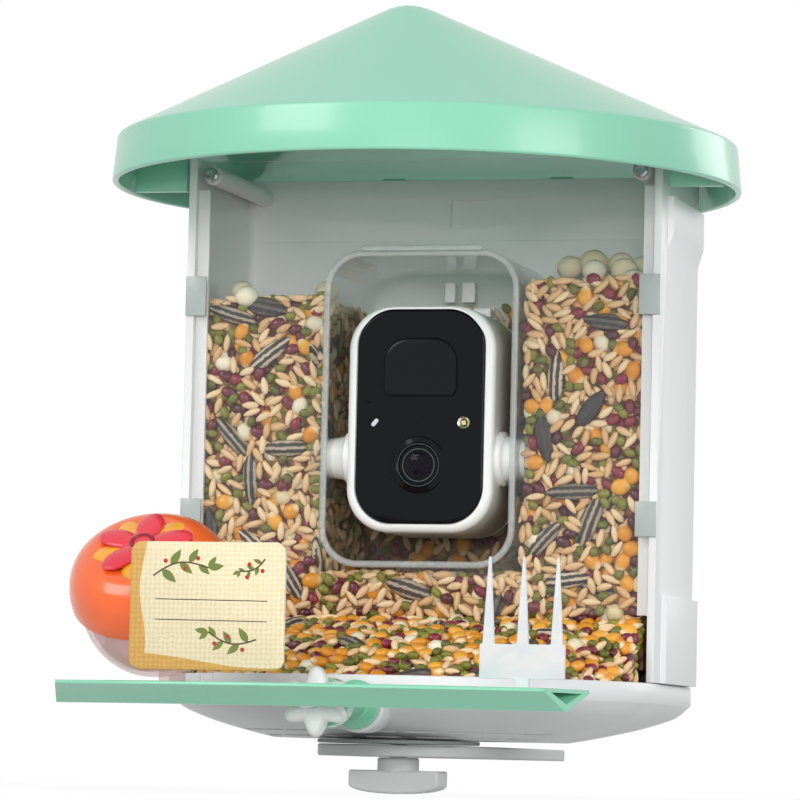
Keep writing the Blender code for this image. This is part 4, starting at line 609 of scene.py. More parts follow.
# ABS with a fine satin skin: a clean white whose edges catch a soft shine.
satin_white = moulded("white_satin_abs", "F4F5F4", 0.36, coat=0.15)
front_edge = [case_ring(CASE_EDGE - a, CASE_FRONT + CASE_EDGE - b)
              for a, b in bow(0, 0, CASE_EDGE, 0, 90, 8)]
bm = skinned([case_ring(0.0006, CASE_SEAM), case_ring(0.0, CASE_SEAM - 0.0006)] + front_edge
             + [glass_ring(-0.0006, CASE_FRONT), glass_ring(-0.0003, CASE_FRONT + 0.0004),
                glass_ring(-0.0003, CASE_FRONT + 0.0024)])
piece("camera_case", bm, satin_white, "camera", "camera_shell", slot="white_abs", smooth=50)
bm = skinned([case_ring(0.0006, CASE_SEAM + 0.0002), case_ring(0.0, CASE_SEAM + 0.0008),
              case_ring(0.0, CASE_BACK - 0.0012), case_ring(0.0012, CASE_BACK)])
piece("camera_back_cover", bm, satin_white, "camera", "camera_back", slot="white_abs", smooth=50)
for side, hand in SIDES:
    piece(f"camera_pivot_{hand}", on_pivot(PIVOT_PROFILE, side, 72), satin_white, "camera")
copied("camera_saddle", "camera_cradle", satin_white, "camera", "white_abs", 0.0006, 3)
for number, (x, width) in enumerate(CASE_TABS):
    bm = block(bmesh.new(), (x, TAB_Y, TAB_Z), (width, TAB_DEEP, TAB_HIGH))
    piece(f"camera_tab_{number}", broken_edges(bm, 0.0008, 3), satin_white, "camera")


# Camera glass and motion window: a black acrylic cover with an arched window for the motion sensor,
# framed by a fine groove. It is polished, and mirrors the bright room only faintly.
ARCH_LOW, ARCH_HIGH, ARCH_HALF, ARCH_FOOT, ARCH_TOP = 0.1351, 0.1573, 0.0142, 0.0032, 0.0095
LENS_Z = 0.1093


def black_gloss(name, code, roughness, specular):
    """A black polished plastic; the low specular keeps the white studio out of it."""
    return moulded(name, code, roughness, skin_mm=6, skin_depth_mm=0.002, shade=0.15,
                   **{"Specular IOR Level": specular})


# Polished acrylic, black right through: deep and smooth, with only a faint mirror of the room.
black_acrylic = black_gloss("black_acrylic", "0A0D10", 0.08, 0.14)
bm = skinned([glass_ring(0.0, 0.0050), glass_ring(0.0, 0.0031), glass_ring(0.0004, 0.0027),
              glass_ring(0.0012, 0.0026)])
piece("camera_front_glass", bm, black_acrylic, "camera", "camera_glass", slot="black_glass", smooth=40)


def arch_ring(inset, y):
    """A ring of the motion window's outline, with wide upper corners and small lower ones."""
    half, low, high = ARCH_HALF - inset, ARCH_LOW + inset, ARCH_HIGH - inset
    points = []
    for a, z, radius, start in ((1, high, ARCH_TOP, 0), (-1, high, ARCH_TOP, 90),
                                (-1, low, ARCH_FOOT, 180), (1, low, ARCH_FOOT, 270)):
        radius -= inset
        level = z - radius if z == high else z + radius
        points += bow(a * (half - radius), level, radius, start, start + 90, CORNER_STEPS)
    return [(x, y, z) for x, z in points]


# The sensor's window passes heat and no light: black with a duller shine, in a groove with none.
dark_abs = black_gloss("black_moulded_abs", "0E1316", 0.16, 0.16)
groove_black = black_gloss("black_groove", "030405", 0.55, 0.10)
bm = skinned([arch_ring(0.0, 0.0030), arch_ring(0.0, 0.00225), arch_ring(0.0003, 0.00222)])
piece("motion_window_groove", bm, groove_black, "camera")
bm = skinned([arch_ring(0.00045, 0.0040), arch_ring(0.00045, 0.00222), arch_ring(0.0008, 0.0021),
              arch_ring(0.0020, 0.00205)])
piece("motion_window", bm, dark_abs, "camera", "motion_sensor_window", slot="dark_abs")


# Lens, lamps and microphone: a dished ring, a ribbed barrel and a coated glass dome, a spotlight in a
# chrome cup, a small status light and a pin hole.
SPOT_X, SPOT_Z = 0.0172, 0.1252               # the spotlight, with the status light opposite
HOLE_X, HOLE_Z = -0.020, 0.133
LENS_STEPS, LENS_STEP_OUT, LENS_STEP_UP = 4, 0.00095, 0.00070
LENS_PROFILE = [(0.0081, -0.0045), (0.0081, -0.0023), (0.0086, -0.00195), (0.0104, -0.0022),
                (0.0108, -0.0026), (0.0108, -0.0045)]
CUP_PROFILE = [(0, -0.0030), (0.0008, -0.0030), (0.0019, -0.0023), (0.0023, -0.0020),
               (0.0023, -0.0036), (0, -0.0036)]
HOLE_PROFILE = [(0, -0.0034), (0.00055, -0.0034), (0.00055, -0.00255), (0, -0.0025)]
CHIP_SIZE, CHIP_LEVEL = (0.0017, 0.0017, 0.0010), -0.0025
LINE_THICK, GLINT_THICK = 0.00012, 0.00015
# Painted highlights and reflections in the lens, thin grey rings and coloured arcs: radius, width, level
# and colour, and the arcs' start and sweep.
RING_HIGHLIGHTS = ((0.00805, 0.00022, -0.0021, "4A5258"), (0.00620, 0.00020, -0.0026, "5A646A"),
              (0.00410, 0.00024, -0.0038, "66747E"), (0.00235, 0.00020, -0.0044, "7A868E"))
GLINTS = (("lens_glint_red", 0.00560, 0.00035, -0.0031, "8A1422", 150, 130),
          ("lens_glint_rose", 0.00575, 0.00028, -0.0030, "6E1438", -70, 80),
          ("lens_glint_amber", 0.00185, 0.00030, -0.0042, "9A4A1C", 0, 360))


def facing_front(bm, x, z, turn=0.0):
    """Turn a mesh made along Z to face the front, at a place on the camera."""
    bm.transform(Matrix.Translation((x, 0, z)) @ turned(turn, "Y") @ turned(90, "X"))
    return bm


bm = facing_front(spun(LENS_PROFILE, 96), 0, LENS_Z)
piece("lens_surround", bm, black_acrylic, "camera", "lens_ring", slot="black_glass")
barrel = [(0, -0.0052), (0.0040, -0.0052)]
for step in range(LENS_STEPS):
    radius = 0.0042 + step * LENS_STEP_OUT
    level = -0.0048 + step * LENS_STEP_UP
    barrel += [(radius, level), (radius + 0.00035, level + 0.00022), (radius + 0.0006, level + 0.0001)]
barrel += [(0.0080, -0.0022), (0.0080, -0.0060), (0, -0.0060)]
bm = facing_front(spun(barrel, 96), 0, LENS_Z)
piece("lens_barrel_rings", bm, groove_black, "camera", "lens_barrel", slot="dark_abs", smooth=25)
# Painted highlights: thin grey lines for the light that the edges of the black rings catch.
for number, (radius, width, level, code) in enumerate(RING_HIGHLIGHTS):
    bm = spun([(radius - width, level), (radius, level), (radius, level + LINE_THICK),
               (radius - width, level + LINE_THICK)], 96)
    piece(f"lens_ring_highlight_{number}", facing_front(bm, 0, LENS_Z),
          moulded(f"lens_ring_painted_highlight_{number}", code, 0.4), "camera")
# Painted reflections: red and amber arcs for the light that the coating on the inner lenses mirrors.
for name, radius, width, level, code, start, sweep in GLINTS:
    bm = bmesh.new()
    section = [bm.verts.new((radius + a, 0, level + b)) for a, b in
               ((-width / 2, 0), (width / 2, 0), (width / 2, GLINT_THICK), (-width / 2, GLINT_THICK))]
    around = [bm.edges.new((a, b)) for a, b in zip(section, section[1:] + section[:1])]
    bmesh.ops.rotate(bm, verts=bm.verts, matrix=Matrix.Rotation(math.radians(start), 3, "Z"))
    bmesh.ops.spin(bm, geom=section + around, cent=(0, 0, 0), axis=(0, 0, 1), steps=48,
                   angle=math.radians(sweep), use_merge=sweep == 360)
    bmesh.ops.remove_doubles(bm, verts=bm.verts, dist=0.000003)
    bmesh.ops.holes_fill(bm, edges=bm.edges, sides=4)
    bmesh.ops.recalc_face_normals(bm, faces=bm.faces)
    coated, tree, shader = blank(name)
    feed(tree, shader, {"Base Color": linear(code), "Roughness": 0.15})
    piece(name, facing_front(bm, 0, LENS_Z), coated, "camera")
dome = bow(0, -0.0130, 0.0116, 90, 61, 10)
bm = facing_front(spun([(r, z) for r, z in dome] + [(0.0056, -0.0042), (0, -0.0042)], 96), 0, LENS_Z)
# Glass with an anti-glare coating: a clear dome with a violet cast and little shine.
lens_glass = clear("coated_lens_glass", "D8D0E4", 1.22, 0.01, 0.0)
piece("lens_dome", bm, lens_glass, "camera", "lens_glass", slot="black_glass")

# Chrome on a smooth cup: a bright mirror.
chrome = bare_metal("bright_chrome", "E4E6E8", 0.12, 2)
bm = facing_front(spun(CUP_PROFILE, 64), SPOT_X, SPOT_Z)
piece("spotlight_cup", bm, chrome, "camera", "spotlight", slot="zinc_steel")
bm = broken_edges(block(bmesh.new(), (0, 0, CHIP_LEVEL), CHIP_SIZE, turned(12, "Z")), 0.0002)
# The phosphor of a white light, a matt pale yellow, and the milky lens of the status light.
yellow_chip = moulded("yellow_light_chip", "E6D28A", 0.4)
piece("spotlight_chip", facing_front(bm, SPOT_X, SPOT_Z), yellow_chip, "camera")
bm = skinned([[(0.0008 * x, 0.0008 * y + 0.0009 * (1 if y > 0 else -1), z)
               for x, y in bow(0, 0, 1 - drop, 0.5, 359.5, 31)]
              for z, drop in ((-0.0035, 0), (-0.0021, 0), (-0.0019, 0.25))])
pale_lens = moulded("pale_light_lens", "D6DCE6", 0.25)
piece("status_light_lens", facing_front(bm, -SPOT_X, SPOT_Z, turn=40), pale_lens, "camera",
      "status_light", slot="white_abs")
bm = facing_front(spun(HOLE_PROFILE, 24), HOLE_X, HOLE_Z)
piece("microphone_hole", bm, groove_black, "camera")


# Camera's rear controls: a soft grey power button and a flap over the charging port, which is moulded
# with its hinge strip in one piece. Both are rubber, a flat mid grey that hardly shines.
grey_rubber = moulded("grey_moulded_rubber", "8D9190", 0.62)
copied("power_button_cap", "power_button", grey_rubber, "power_button", "grey_tpr", 0.0004, 3,
       smooth=42)
copied("port_flap_rubber", "port_flap", grey_rubber, "port_flap", "grey_tpr", 0.0004, 3)


# Seed: oat groats, maize, red and green beans, peas and striped sunflower seeds, all dry and dull. They
# lie loose in layers against the window, round the pocket, on top and in the tray, over a brown bed that
# stands for the rest of the mix, with a dark mottle of painted shade for the gaps between seeds.
SEED_HALF, SEED_FRONT, SEED_BACK = 0.0872, 0.0034, 0.0715
SEED_TOP, SEED_TOP_RISE, SEED_PILE = 0.1765, 0.0045, 0.008    # the middle, the right side, its back
SEED_LOW, SEED_SIDE_HIGH = 0.044, 0.182
HEAP_HIGH, HEAP_LOW = 0.0537, 0.0290          # on the window and on the tray's rim
HEAP_DROP, HEAP_SWELL = HEAP_HIGH - HEAP_LOW, 0.0035
TRAY_INSIDE, RIM_ROOM = 0.0046, 0.006
BED_DEPTH, BED_LOW, HEAP_BED_LOW = 0.0042, 0.034, 0.0240
SHELL_GAP, LAYER_STEP, LONG_SEED = 0.0004, 0.0021, 0.012
ROOM_BY_SOCKET, ROOM_OVER_LEVEL = 0.013, 0.002
GRAIN_MM, BED_GRAIN_MM = 1.6, 4.5
# Each kind's length, width, thickness, how far its end is drawn in, share of the mix and of the tray.
KINDS = {
    "oat_groat": (0.0070, 0.0029, 0.0025, 0.26, 0.60, 0.20),
    "maize": (0.0078, 0.0064, 0.0042, 0.30, 0.10, 0.42),
    "adzuki_bean": (0.0058, 0.0043, 0.0042, 0.0, 0.09, 0.12),
    "mung_bean": (0.0047, 0.0036, 0.0035, 0.0, 0.10, 0.14),
    "white_pea": (0.0074, 0.0070, 0.0068, 0.0, 0.05, 0.07),
    "sunflower_seed": (0.0195, 0.0074, 0.0044, 0.45, 0.05, 0.05),
}
OF_MIX, OF_TRAY = 4, 5
TOP_PEAS = ((0.046, 0.050, 0.1885, 0.0105), (0.056, 0.046, 0.1900, 0.0112),     # place and size
            (0.066, 0.050, 0.1895, 0.0108), (0.076, 0.044, 0.1875, 0.0110),
            (0.060, 0.030, 0.1850, 0.0098), (0.072, 0.028, 0.1850, 0.0106),
            (-0.076, 0.020, 0.1765, 0.0098), (-0.070, 0.006, 0.1735, 0.0092),
            (-0.045, 0.030, 0.1775, 0.0095), (0.079, 0.012, 0.1790, 0.0104))
chance = random.Random(7)
found_seeds = {kind: [] for kind in KINDS}


def pick_kind(column):
    """A kind of seed, drawn by its share of the mix."""
    aim = chance.random() * sum(row[column] for row in KINDS.values())
    for kind, row in KINDS.items():
        aim -= row[column]
        if aim <= 0:
            return kind
    return kind


class Layer:
    """Seeds already laid on one face, looked up on a coarse grid so that none overlap much."""

    def __init__(self, cell=0.008):
        self.cell = cell
        self.grid = {}

    def discs(self, u, v, turn, length, width):
        """Discs along a seed that stand for its outline."""
        count = 1 if length < width * 1.4 else 3 if length < LONG_SEED else 5
        reach = (length - width) / 2
        for i in range(count):
            step = 0 if count == 1 else (2 * i / (count - 1) - 1) * reach * 0.9
            yield u + step * math.cos(turn), v + step * math.sin(turn), width / 2

    def lay(self, discs, overlap):
        """Keep the discs if they overlap no other by more than a share."""
        discs = list(discs)
        for u, v, r in discs:
            cu, cv = int(u // self.cell), int(v // self.cell)
            for i in (cu - 1, cu, cu + 1):
                for j in (cv - 1, cv, cv + 1):
                    for a, b, other in self.grid.get((i, j), ()):
                        if (a - u) ** 2 + (b - v) ** 2 < ((r + other) * (1 - overlap)) ** 2:
                            return False
        for u, v, r in discs:
            self.grid.setdefault((int(u // self.cell), int(v // self.cell)), []).append((u, v, r))
        return True


def strew(place, u_range, v_range, tries, column, fits, layers=3, overlap=0.16, tilt=16, striped=0):
    """Lay seeds over a face. place turns (u, v, depth) into a point and gives the face's axes."""
    for level in range(layers):
        bed = Layer()
        for number in range(tries):
            kind = "sunflower_seed" if level == 0 and number < striped else pick_kind(column)
            length, width, thick = (s * chance.uniform(0.9, 1.1) for s in KINDS[kind][:3])
            u, v = chance.uniform(*u_range), chance.uniform(*v_range)
            turn = chance.uniform(0, 2 * math.pi)
            if level == 2 and length > LONG_SEED:
                continue
            reach_u = abs(math.cos(turn)) * length / 2 + abs(math.sin(turn)) * width / 2
            reach_v = abs(math.sin(turn)) * length / 2 + abs(math.cos(turn)) * width / 2
            if not fits(u, v, reach_u, reach_v):
                continue
            if not bed.lay(bed.discs(u, v, turn, length, width), overlap + 0.1 * level):
                continue
            depth = thick / 2 + SHELL_GAP + level * LAYER_STEP + chance.uniform(0, 0.0007)
            point, axis_u, axis_v, axis_n = place(u, v, depth)
            lean = math.radians(chance.uniform(-tilt, tilt)) * (0.3 if length > LONG_SEED else 1)
            roll = math.radians(chance.uniform(-40, 40)) * (0.3 if width > thick * 1.2 else 1)
            along = axis_u * math.cos(turn) + axis_v * math.sin(turn)
            across = axis_v * math.cos(turn) - axis_u * math.sin(turn)
            frame_of = Matrix((along, across, axis_n)).transposed().to_4x4()
            turned_by = Matrix.Rotation(lean, 4, "Y") @ Matrix.Rotation(roll, 4, "X")
            found_seeds[kind].append(Matrix.Translation(point) @ frame_of @ turned_by
                                     @ Matrix.Diagonal((length, width, thick, 1)))


def level_at(x, y=0.0):
    """The height of the seed's top, which piles up at the back on the right."""
    pile = max(0.0, x / SEED_HALF) * max(0.0, y / SEED_BACK)
    return SEED_TOP + SEED_TOP_RISE * x / SEED_HALF + SEED_PILE * pile


def clear_of_pocket(u, v, reach_u, reach_v):
    """Whether a seed on the front face misses the pocket and stays under the seed's top."""
    if abs(u) + reach_u > SEED_HALF or v + reach_v > level_at(u) + ROOM_OVER_LEVEL:
        return False
    return abs(u) - reach_u > POCKET_HALF + SHELL_GAP or v + reach_v < POCKET_LOW - SHELL_GAP


RIGHT, BACK, UP = Vector((1, 0, 0)), Vector((0, 1, 0)), Vector((0, 0, 1))
# Against the window, then beside, behind and under the pocket, and on top.
strew(lambda u, v, d: (Vector((u, SEED_FRONT + d, v)), RIGHT, UP, BACK),
      (-SEED_HALF, SEED_HALF), (SEED_LOW, 0.186), 22000, OF_MIX, clear_of_pocket, overlap=0.28,
      striped=75)
for side, hand in SIDES:
    strew(lambda u, v, d: (Vector((side * (POCKET_HALF + d), u, v)), BACK, UP, RIGHT * side),
          (SEED_FRONT + 0.004, SEED_BACK), (POCKET_LOW, SEED_SIDE_HIGH), 4500, OF_MIX,
          lambda u, v, a, b: u + a < SEED_BACK and v + b < level_at(side * POCKET_HALF, u)
          and not (abs(u - SOCKET_Y) < a + ROOM_BY_SOCKET and abs(v - SOCKET_Z) < b + ROOM_BY_SOCKET),
          layers=2)
strew(lambda u, v, d: (Vector((u, POCKET_BACK + d, v)), RIGHT, UP, BACK),
      (-POCKET_HALF - 0.004, POCKET_HALF + 0.004), (POCKET_LOW, SEED_SIDE_HIGH), 2600, OF_MIX,
      lambda u, v, a, b: v + b < level_at(u, SEED_BACK), layers=1, overlap=0.3)
strew(lambda u, v, d: (Vector((u, v, POCKET_LOW - d)), RIGHT, BACK, -UP),
      (-POCKET_HALF, POCKET_HALF), (SEED_FRONT + 0.005, SEED_BACK), 1300, OF_MIX,
      lambda u, v, a, b: v + b < SEED_BACK, layers=2)
strew(lambda u, v, d: (Vector((u, v, level_at(u, v) + 0.001 - d)), RIGHT, BACK, -UP),
      (-SEED_HALF, SEED_HALF), (SEED_FRONT, SEED_BACK), 2600, OF_MIX,
      lambda u, v, a, b: abs(u) + a < SEED_HALF and SEED_FRONT < v - b and v + b < SEED_BACK
      and abs(u) - a > POCKET_HALF, layers=2)


def heap_reach(x):
    """How far the heap runs forward from the window's foot to the tray's rim, at a place across."""
    bow_share = math.sqrt(max(0.0, 1 - (x / (BOWL_HALF - BOWL_WALL - 0.001)) ** 2))
    return SEED_FRONT + TRAY_REACH * bow_share - TRAY_INSIDE


def on_heap(u, v, depth):
    """A place on the heap. v runs from the window's foot to the rim, as metres of the middle's slope."""
    reach = heap_reach(u)
    share = min(1.0, v / HEAP_SLOPE)
    angle = math.atan2(HEAP_DROP, reach)
    down = Vector((0, -math.cos(angle), -math.sin(angle)))
    inward = Vector((0, math.sin(angle), -math.cos(angle)))
    swell = HEAP_SWELL * math.sin(math.pi * share) * math.cos(u / BOWL_HALF * math.pi / 2)
    foot = Vector((u, SEED_FRONT - share * reach, HEAP_HIGH - share * HEAP_DROP))
    return foot + inward * (depth - swell), RIGHT, -down, inward


def in_tray(u, v, reach_u, reach_v):
    """Whether a seed on the heap stays inside the tray's bowed rim."""
    scale = HEAP_SLOPE / math.hypot(HEAP_DROP, heap_reach(u))
    end_u = abs(u) + reach_u
    if end_u > SEED_HALF + 0.001 or v / HEAP_SLOPE * heap_reach(u) > heap_reach(end_u) + RIM_ROOM:
        return False
    return v + reach_v * scale * 0.8 < HEAP_SLOPE


HEAP_SLOPE = math.hypot(HEAP_DROP, heap_reach(0))
strew(on_heap, (-SEED_HALF, SEED_HALF), (0.001, 0.080), 9000, OF_TRAY, in_tray, overlap=0.26, tilt=22,
      striped=16)
for x, y, z, size in TOP_PEAS:
    found_seeds["white_pea"].append(Matrix.Translation((x, y, z)) @ Matrix.Diagonal(
        (size, size * 0.97, size * 0.93, 1)))


def dry_seed(name, light, dark, roughness, tip=None, stripes=0, coat=0.0):
    """The skin of a dry seed: a tone of its own for each one, a paler tip or lengthwise stripes."""
    made, tree, shader = blank(name)
    tone, along, across = (add(tree, "Attribute", attribute_name=label).outputs["Fac"]
                           for label in ("tone", "along", "across"))
    grain = noise(tree, add(tree, "TexCoord").outputs["Object"], GRAIN_MM, 3.0)
    shift = maths(tree, "SUBTRACT", grain, 0.5)
    wander = maths(tree, "MULTIPLY_ADD", shift, 0.5, tone, use_clamp=True)
    colour = blend(tree, wander, linear(dark), linear(light))
    if tip:
        colour = blend(tree, ramp(tree, along, (0.35, 0.85), ease="SMOOTHSTEP"), colour, linear(tip))
    if stripes:
        bent = maths(tree, "MULTIPLY_ADD", shift, 0.35, across)
        sine = maths(tree, "COSINE", maths(tree, "MULTIPLY", bent, math.pi * stripes))
        colour = blend(tree, ramp(tree, sine, (-0.1, 0.5), ease="SMOOTHSTEP"), linear(dark), colour)
    bump = add(tree, "Bump", {"Height": grain, "Distance": 0.0002, "Strength": 0.5})
    feed(tree, shader, {"Base Color": colour, "Normal": bump.outputs[0], "Roughness": roughness,
                        "Coat Weight": coat})
    return made


SEED_SKINS = {
    "oat_groat": dry_seed("oat_groat_skin", "F7DBB0", "DDAE78", 0.50),
    "maize": dry_seed("maize_skin", "F4B03C", "DE8C18", 0.35, tip="F3DDB0", coat=0.2),
    "adzuki_bean": dry_seed("adzuki_bean_skin", "8A2236", "4E1624", 0.30, coat=0.3),
    "mung_bean": dry_seed("mung_bean_skin", "8C8A30", "565A1C", 0.38, coat=0.15),
    "white_pea": dry_seed("white_pea_skin", "F6EED6", "E2D3A4", 0.42),
    "sunflower_seed": dry_seed("sunflower_husk", "D9C6AE", "3A3635", 0.55, stripes=3),
}


def seed_shape(kind):
    """One seed one unit long, drawn in towards its tip as its kind is."""
    bm = bmesh.new()
    bmesh.ops.create_uvsphere(bm, u_segments=8, v_segments=6, radius=0.5,
                              matrix=turned(90, "Y"))
    for vert in bm.verts:
        shrink = 1 - KINDS[kind][3] * max(0.0, vert.co.x * 2) ** 1.5
        vert.co.y *= shrink
        vert.co.z *= shrink
        if kind == "oat_groat":
            vert.co.z -= 0.10 * math.exp(-(vert.co.y * 7) ** 2) * (1 if vert.co.z > 0 else 0)
    return mesh_of(bm, kind)


def seed_piece(name, kind, places):
    """Many seeds of one kind as one piece, with each one's tone and its own lengthwise position."""
    shape = seed_shape(kind)
    corners = np.array([v.co for v in shape.vertices], float)
    loops = np.array([loop.vertex_index for loop in shape.loops])
    starts = np.array([p.loop_start for p in shape.polygons])
    turns = np.array(places, float)
    points = np.einsum("nij,vj->nvi", turns[:, :3, :3], corners) + turns[:, None, :3, 3]
    count, size = len(places), len(corners)
    mesh = bpy.data.meshes.new(name)
    mesh.vertices.add(count * size)
    mesh.vertices.foreach_set("co", points.reshape(-1))
    mesh.loops.add(count * len(loops))
    mesh.loops.foreach_set("vertex_index", (loops[None] + np.arange(count)[:, None] * size).reshape(-1))
    mesh.polygons.add(count * len(starts))
    mesh.polygons.foreach_set(
        "loop_start", (starts[None] + np.arange(count)[:, None] * len(loops)).reshape(-1))
    mesh.update(calc_edges=True)
    tones = np.repeat([chance.random() for _ in range(count)], size)
    for label, values in (("tone", tones), ("along", np.tile(corners[:, 0] * 2, count)),
                          ("across", np.tile(corners[:, 1] * 2, count))):
        mesh.attributes.new(label, "FLOAT", "POINT").data.foreach_set("value", values)
    mesh.shade_smooth()
    mesh.materials.append(SEED_SKINS[kind])
    made = in_scene(name, mesh)
    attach(made, "feeder")
    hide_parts("seed_fill")


MOST_IN_A_PIECE = 2000
for kind, places in found_seeds.items():
    for start in range(0, len(places), MOST_IN_A_PIECE):
        seed_piece(f"{kind}s_{start // MOST_IN_A_PIECE}", kind, places[start:start + MOST_IN_A_PIECE])

inside = SEED_HALF - 0.0010
beside = POCKET_HALF + BED_DEPTH
bed_front, bed_back = SEED_FRONT + BED_DEPTH, SEED_BACK - 0.0005
bed_blocks = [((-inside, -beside), (bed_front, bed_back), (BED_LOW, SEED_TOP - 0.010)),
              ((beside, inside), (bed_front, bed_back), (BED_LOW, SEED_TOP - 0.006)),
              ((-beside, beside), (bed_front, bed_back), (BED_LOW, POCKET_LOW - BED_DEPTH)),
              ((-beside, beside), (POCKET_BACK + 0.0030, bed_back), (BED_LOW, SEED_TOP - 0.006))]
bm = bmesh.new()
for spans in bed_blocks:
    block(bm, [(a + b) / 2 for a, b in spans], [b - a for a, b in spans])
heap = bmesh.new()
bmesh.ops.create_grid(heap, x_segments=24, y_segments=10, size=1)
top = list(heap.faces)
for vert in heap.verts:
    x, v = vert.co.x * (SEED_HALF - 0.003), (vert.co.y + 1) / 2 * (HEAP_SLOPE - 0.002)
    vert.co = on_heap(x, v, BED_DEPTH)[0]
for vert in pulled(heap, top):
    vert.co.z = HEAP_BED_LOW
bmesh.ops.recalc_face_normals(heap, faces=heap.faces)
bm.from_mesh(mesh_of(heap, "heap"))
# The bed is brown for the deeper seed. Its cell mottle darkens away from each cell's middle: painted
# shade for the gaps between the grains.
seed_bed_with_painted_shade = dry_seed("seed_bed_with_painted_shade", "B98C5C", "6A4526", 0.8)
tree = seed_bed_with_painted_shade.node_tree
cells = add(tree, "TexVoronoi", {"Vector": add(tree, "TexCoord").outputs["Object"],
                                 "Scale": 1000 / BED_GRAIN_MM})
painted_gap_shade = ramp(tree, cells.outputs["Distance"], (0.0, 0.7))
feed(tree, tree.nodes["Principled BSDF"],
     {"Base Color": blend(tree, painted_gap_shade, linear("B98F5E"), linear("5A3A22"))})
piece("seed_mix_bed", bm, seed_bed_with_painted_shade, "feeder", "seed_fill", slot="seed_mix")


# Mount: a grey plastic plate under the bowl with a half-round front, a soft pad over it, and a hand
# screw whose bolt runs up through both into a nut in the bowl.
PLATE_HALF, PLATE_FRONT_Y, PLATE_BACK, PLATE_HIGH = 0.033, -0.0055, 0.116, 0.0044
BOLT_Y, BOLT_HOLE = -0.017, 0.0034
PLATE_CORNER, PLATE_HOLE = 0.003, 0.0025      # radii of its back corners and of its screw holes
PLATE_HOLES = [(x, y, PLATE_HOLE) for x in (-0.022, 0.022) for y in (0.0719, 0.1021)]
PAD_EDGE = 0.0004


def plate_ring(inset, z):
    """A ring of the mounting plate's outline."""
    half = PLATE_HALF - inset
    points = bow(0, PLATE_FRONT_Y, half, 180, 360, 48)
    back = PLATE_BACK - inset - PLATE_CORNER
    points += bow(half - PLATE_CORNER, back, PLATE_CORNER, 0, 90, 5)
    points += bow(PLATE_CORNER - half, back, PLATE_CORNER, 90, 180, 5)
    return [(x, y, z) for x, y in points]


def worn_edges(made, width, segments=2):
    """Break a piece's edges with a bevel by angle, as the mould leaves them."""
    bevel = made.modifiers.new("broken_edges", "BEVEL")
    bevel.width = width
    bevel.segments = segments
    bevel.limit_method = "ANGLE"
    bevel.angle_limit = math.radians(40)
    return made


bm = skinned([plate_ring(0.0, 0.0), plate_ring(0.0, PLATE_HIGH)])
grey_plate = moulded("grey_moulded_plate", "D2D4D3", 0.48)
plate = piece("mount_plate_moulding", bm, grey_plate, "feeder", "mount_plate", slot="grey_abs")
holes = bmesh.new()
for x, y, radius in PLATE_HOLES + [(0, BOLT_Y, BOLT_HOLE)]:
    bmesh.ops.create_cone(holes, cap_ends=True, segments=40, radius1=radius, radius2=radius,
                          depth=PLATE_HIGH * 2, matrix=Matrix.Translation((x, y, PLATE_HIGH / 2)))
worn_edges(cut_away(plate, holes), 0.0007, 3)
low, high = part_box("mount_pad")
middle_y = (low.y + high.y) / 2
pad_half = (high.x - low.x) / 2
bm = spun([(BOLT_HOLE, low.z), (pad_half - PAD_EDGE, low.z), (pad_half, low.z + PAD_EDGE),
           (pad_half, high.z - PAD_EDGE), (pad_half - PAD_EDGE, high.z), (BOLT_HOLE, high.z)], 96)
bmesh.ops.translate(bm, verts=bm.verts, vec=(0, middle_y, 0))
piece("mount_pad_disc", bm, grey_rubber, "feeder", "mount_pad", slot="grey_tpr")
copied("mount_nut_steel", "mount_nut", zinc, "feeder", "zinc_steel")
copied("mount_bolt_steel", "mount_bolt", zinc, "hand_screw", "zinc_steel", 0.0, smooth=42)


# Hand screw: a light grey T-shaped knob in ABS on the bolt's lower end, a round neck over a bar with a
# rounded belly. It is turned by hand and clamps the feeder to its place.
NECK_RADIUS, BAR_TOP, BELLY_TOP = 0.0077, -0.0050, -0.0099
low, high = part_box("hand_screw")
bar_half, bar_deep = (high.x - low.x) / 2, (high.y - low.y) / 2
belly = [(-bar_half, BELLY_TOP), (-bar_half, BAR_TOP), (bar_half, BAR_TOP), (bar_half, BELLY_TOP)]
belly += [(bar_half * math.cos(t), BELLY_TOP - (BELLY_TOP - low.z) * math.sin(t) ** 0.8)
          for t in (math.pi * i / 24 for i in range(1, 24))]
bm = bmesh.new()
face = bm.faces.new([bm.verts.new((x, BOLT_Y - bar_deep, z)) for x, z in belly])
pulled(bm, [face], (0, bar_deep * 2, 0))
bmesh.ops.recalc_face_normals(bm, faces=bm.faces)
light_grey = moulded("light_grey_moulded_abs", "E2E3E3", 0.42)
worn_edges(piece("hand_screw_bar", bm, light_grey, "hand_screw", "hand_screw", slot="grey_abs",
                 smooth=30), 0.0009, 3)
neck_top = high.z
bm = spun([(0, neck_top), (NECK_RADIUS - 0.0006, neck_top), (NECK_RADIUS, neck_top - 0.0006),
           (NECK_RADIUS, BAR_TOP - 0.0004), (NECK_RADIUS, BAR_TOP - 0.003), (0, BAR_TOP - 0.003)], 72)
bmesh.ops.translate(bm, verts=bm.verts, vec=(0, BOLT_Y, 0))
piece("hand_screw_neck", bm, light_grey, "hand_screw")


# Perch: a hollow mint bar on a wide arc, wedge-shaped below, cut square at its ends. A round arm carries
# it in front of the tray, and a steel stud and a star knob hold it there.
PERCH_TOP, PERCH_LOW, PERCH_FOOT = 0.024, 0.0163, 0.0012
PERCH_HALF, PERCH_WALL = 0.0125, 0.0014
PERCH_MIDDLE_Y, PERCH_ARC = -0.150, 0.234
PERCH_RIGHT_END, PERCH_LEFT_END = (0.0850, 0.0940), (0.0900, 0.0990)   # reach of front, of back
PERCH_ROUND, PERCH_FOOT_ROUND = 0.0009, 0.0006        # radii of its upper and lower edges
HOLLOW_INSET, HOLLOW_FOOT = 0.0042, 0.0024
PERCH_STEPS = 96


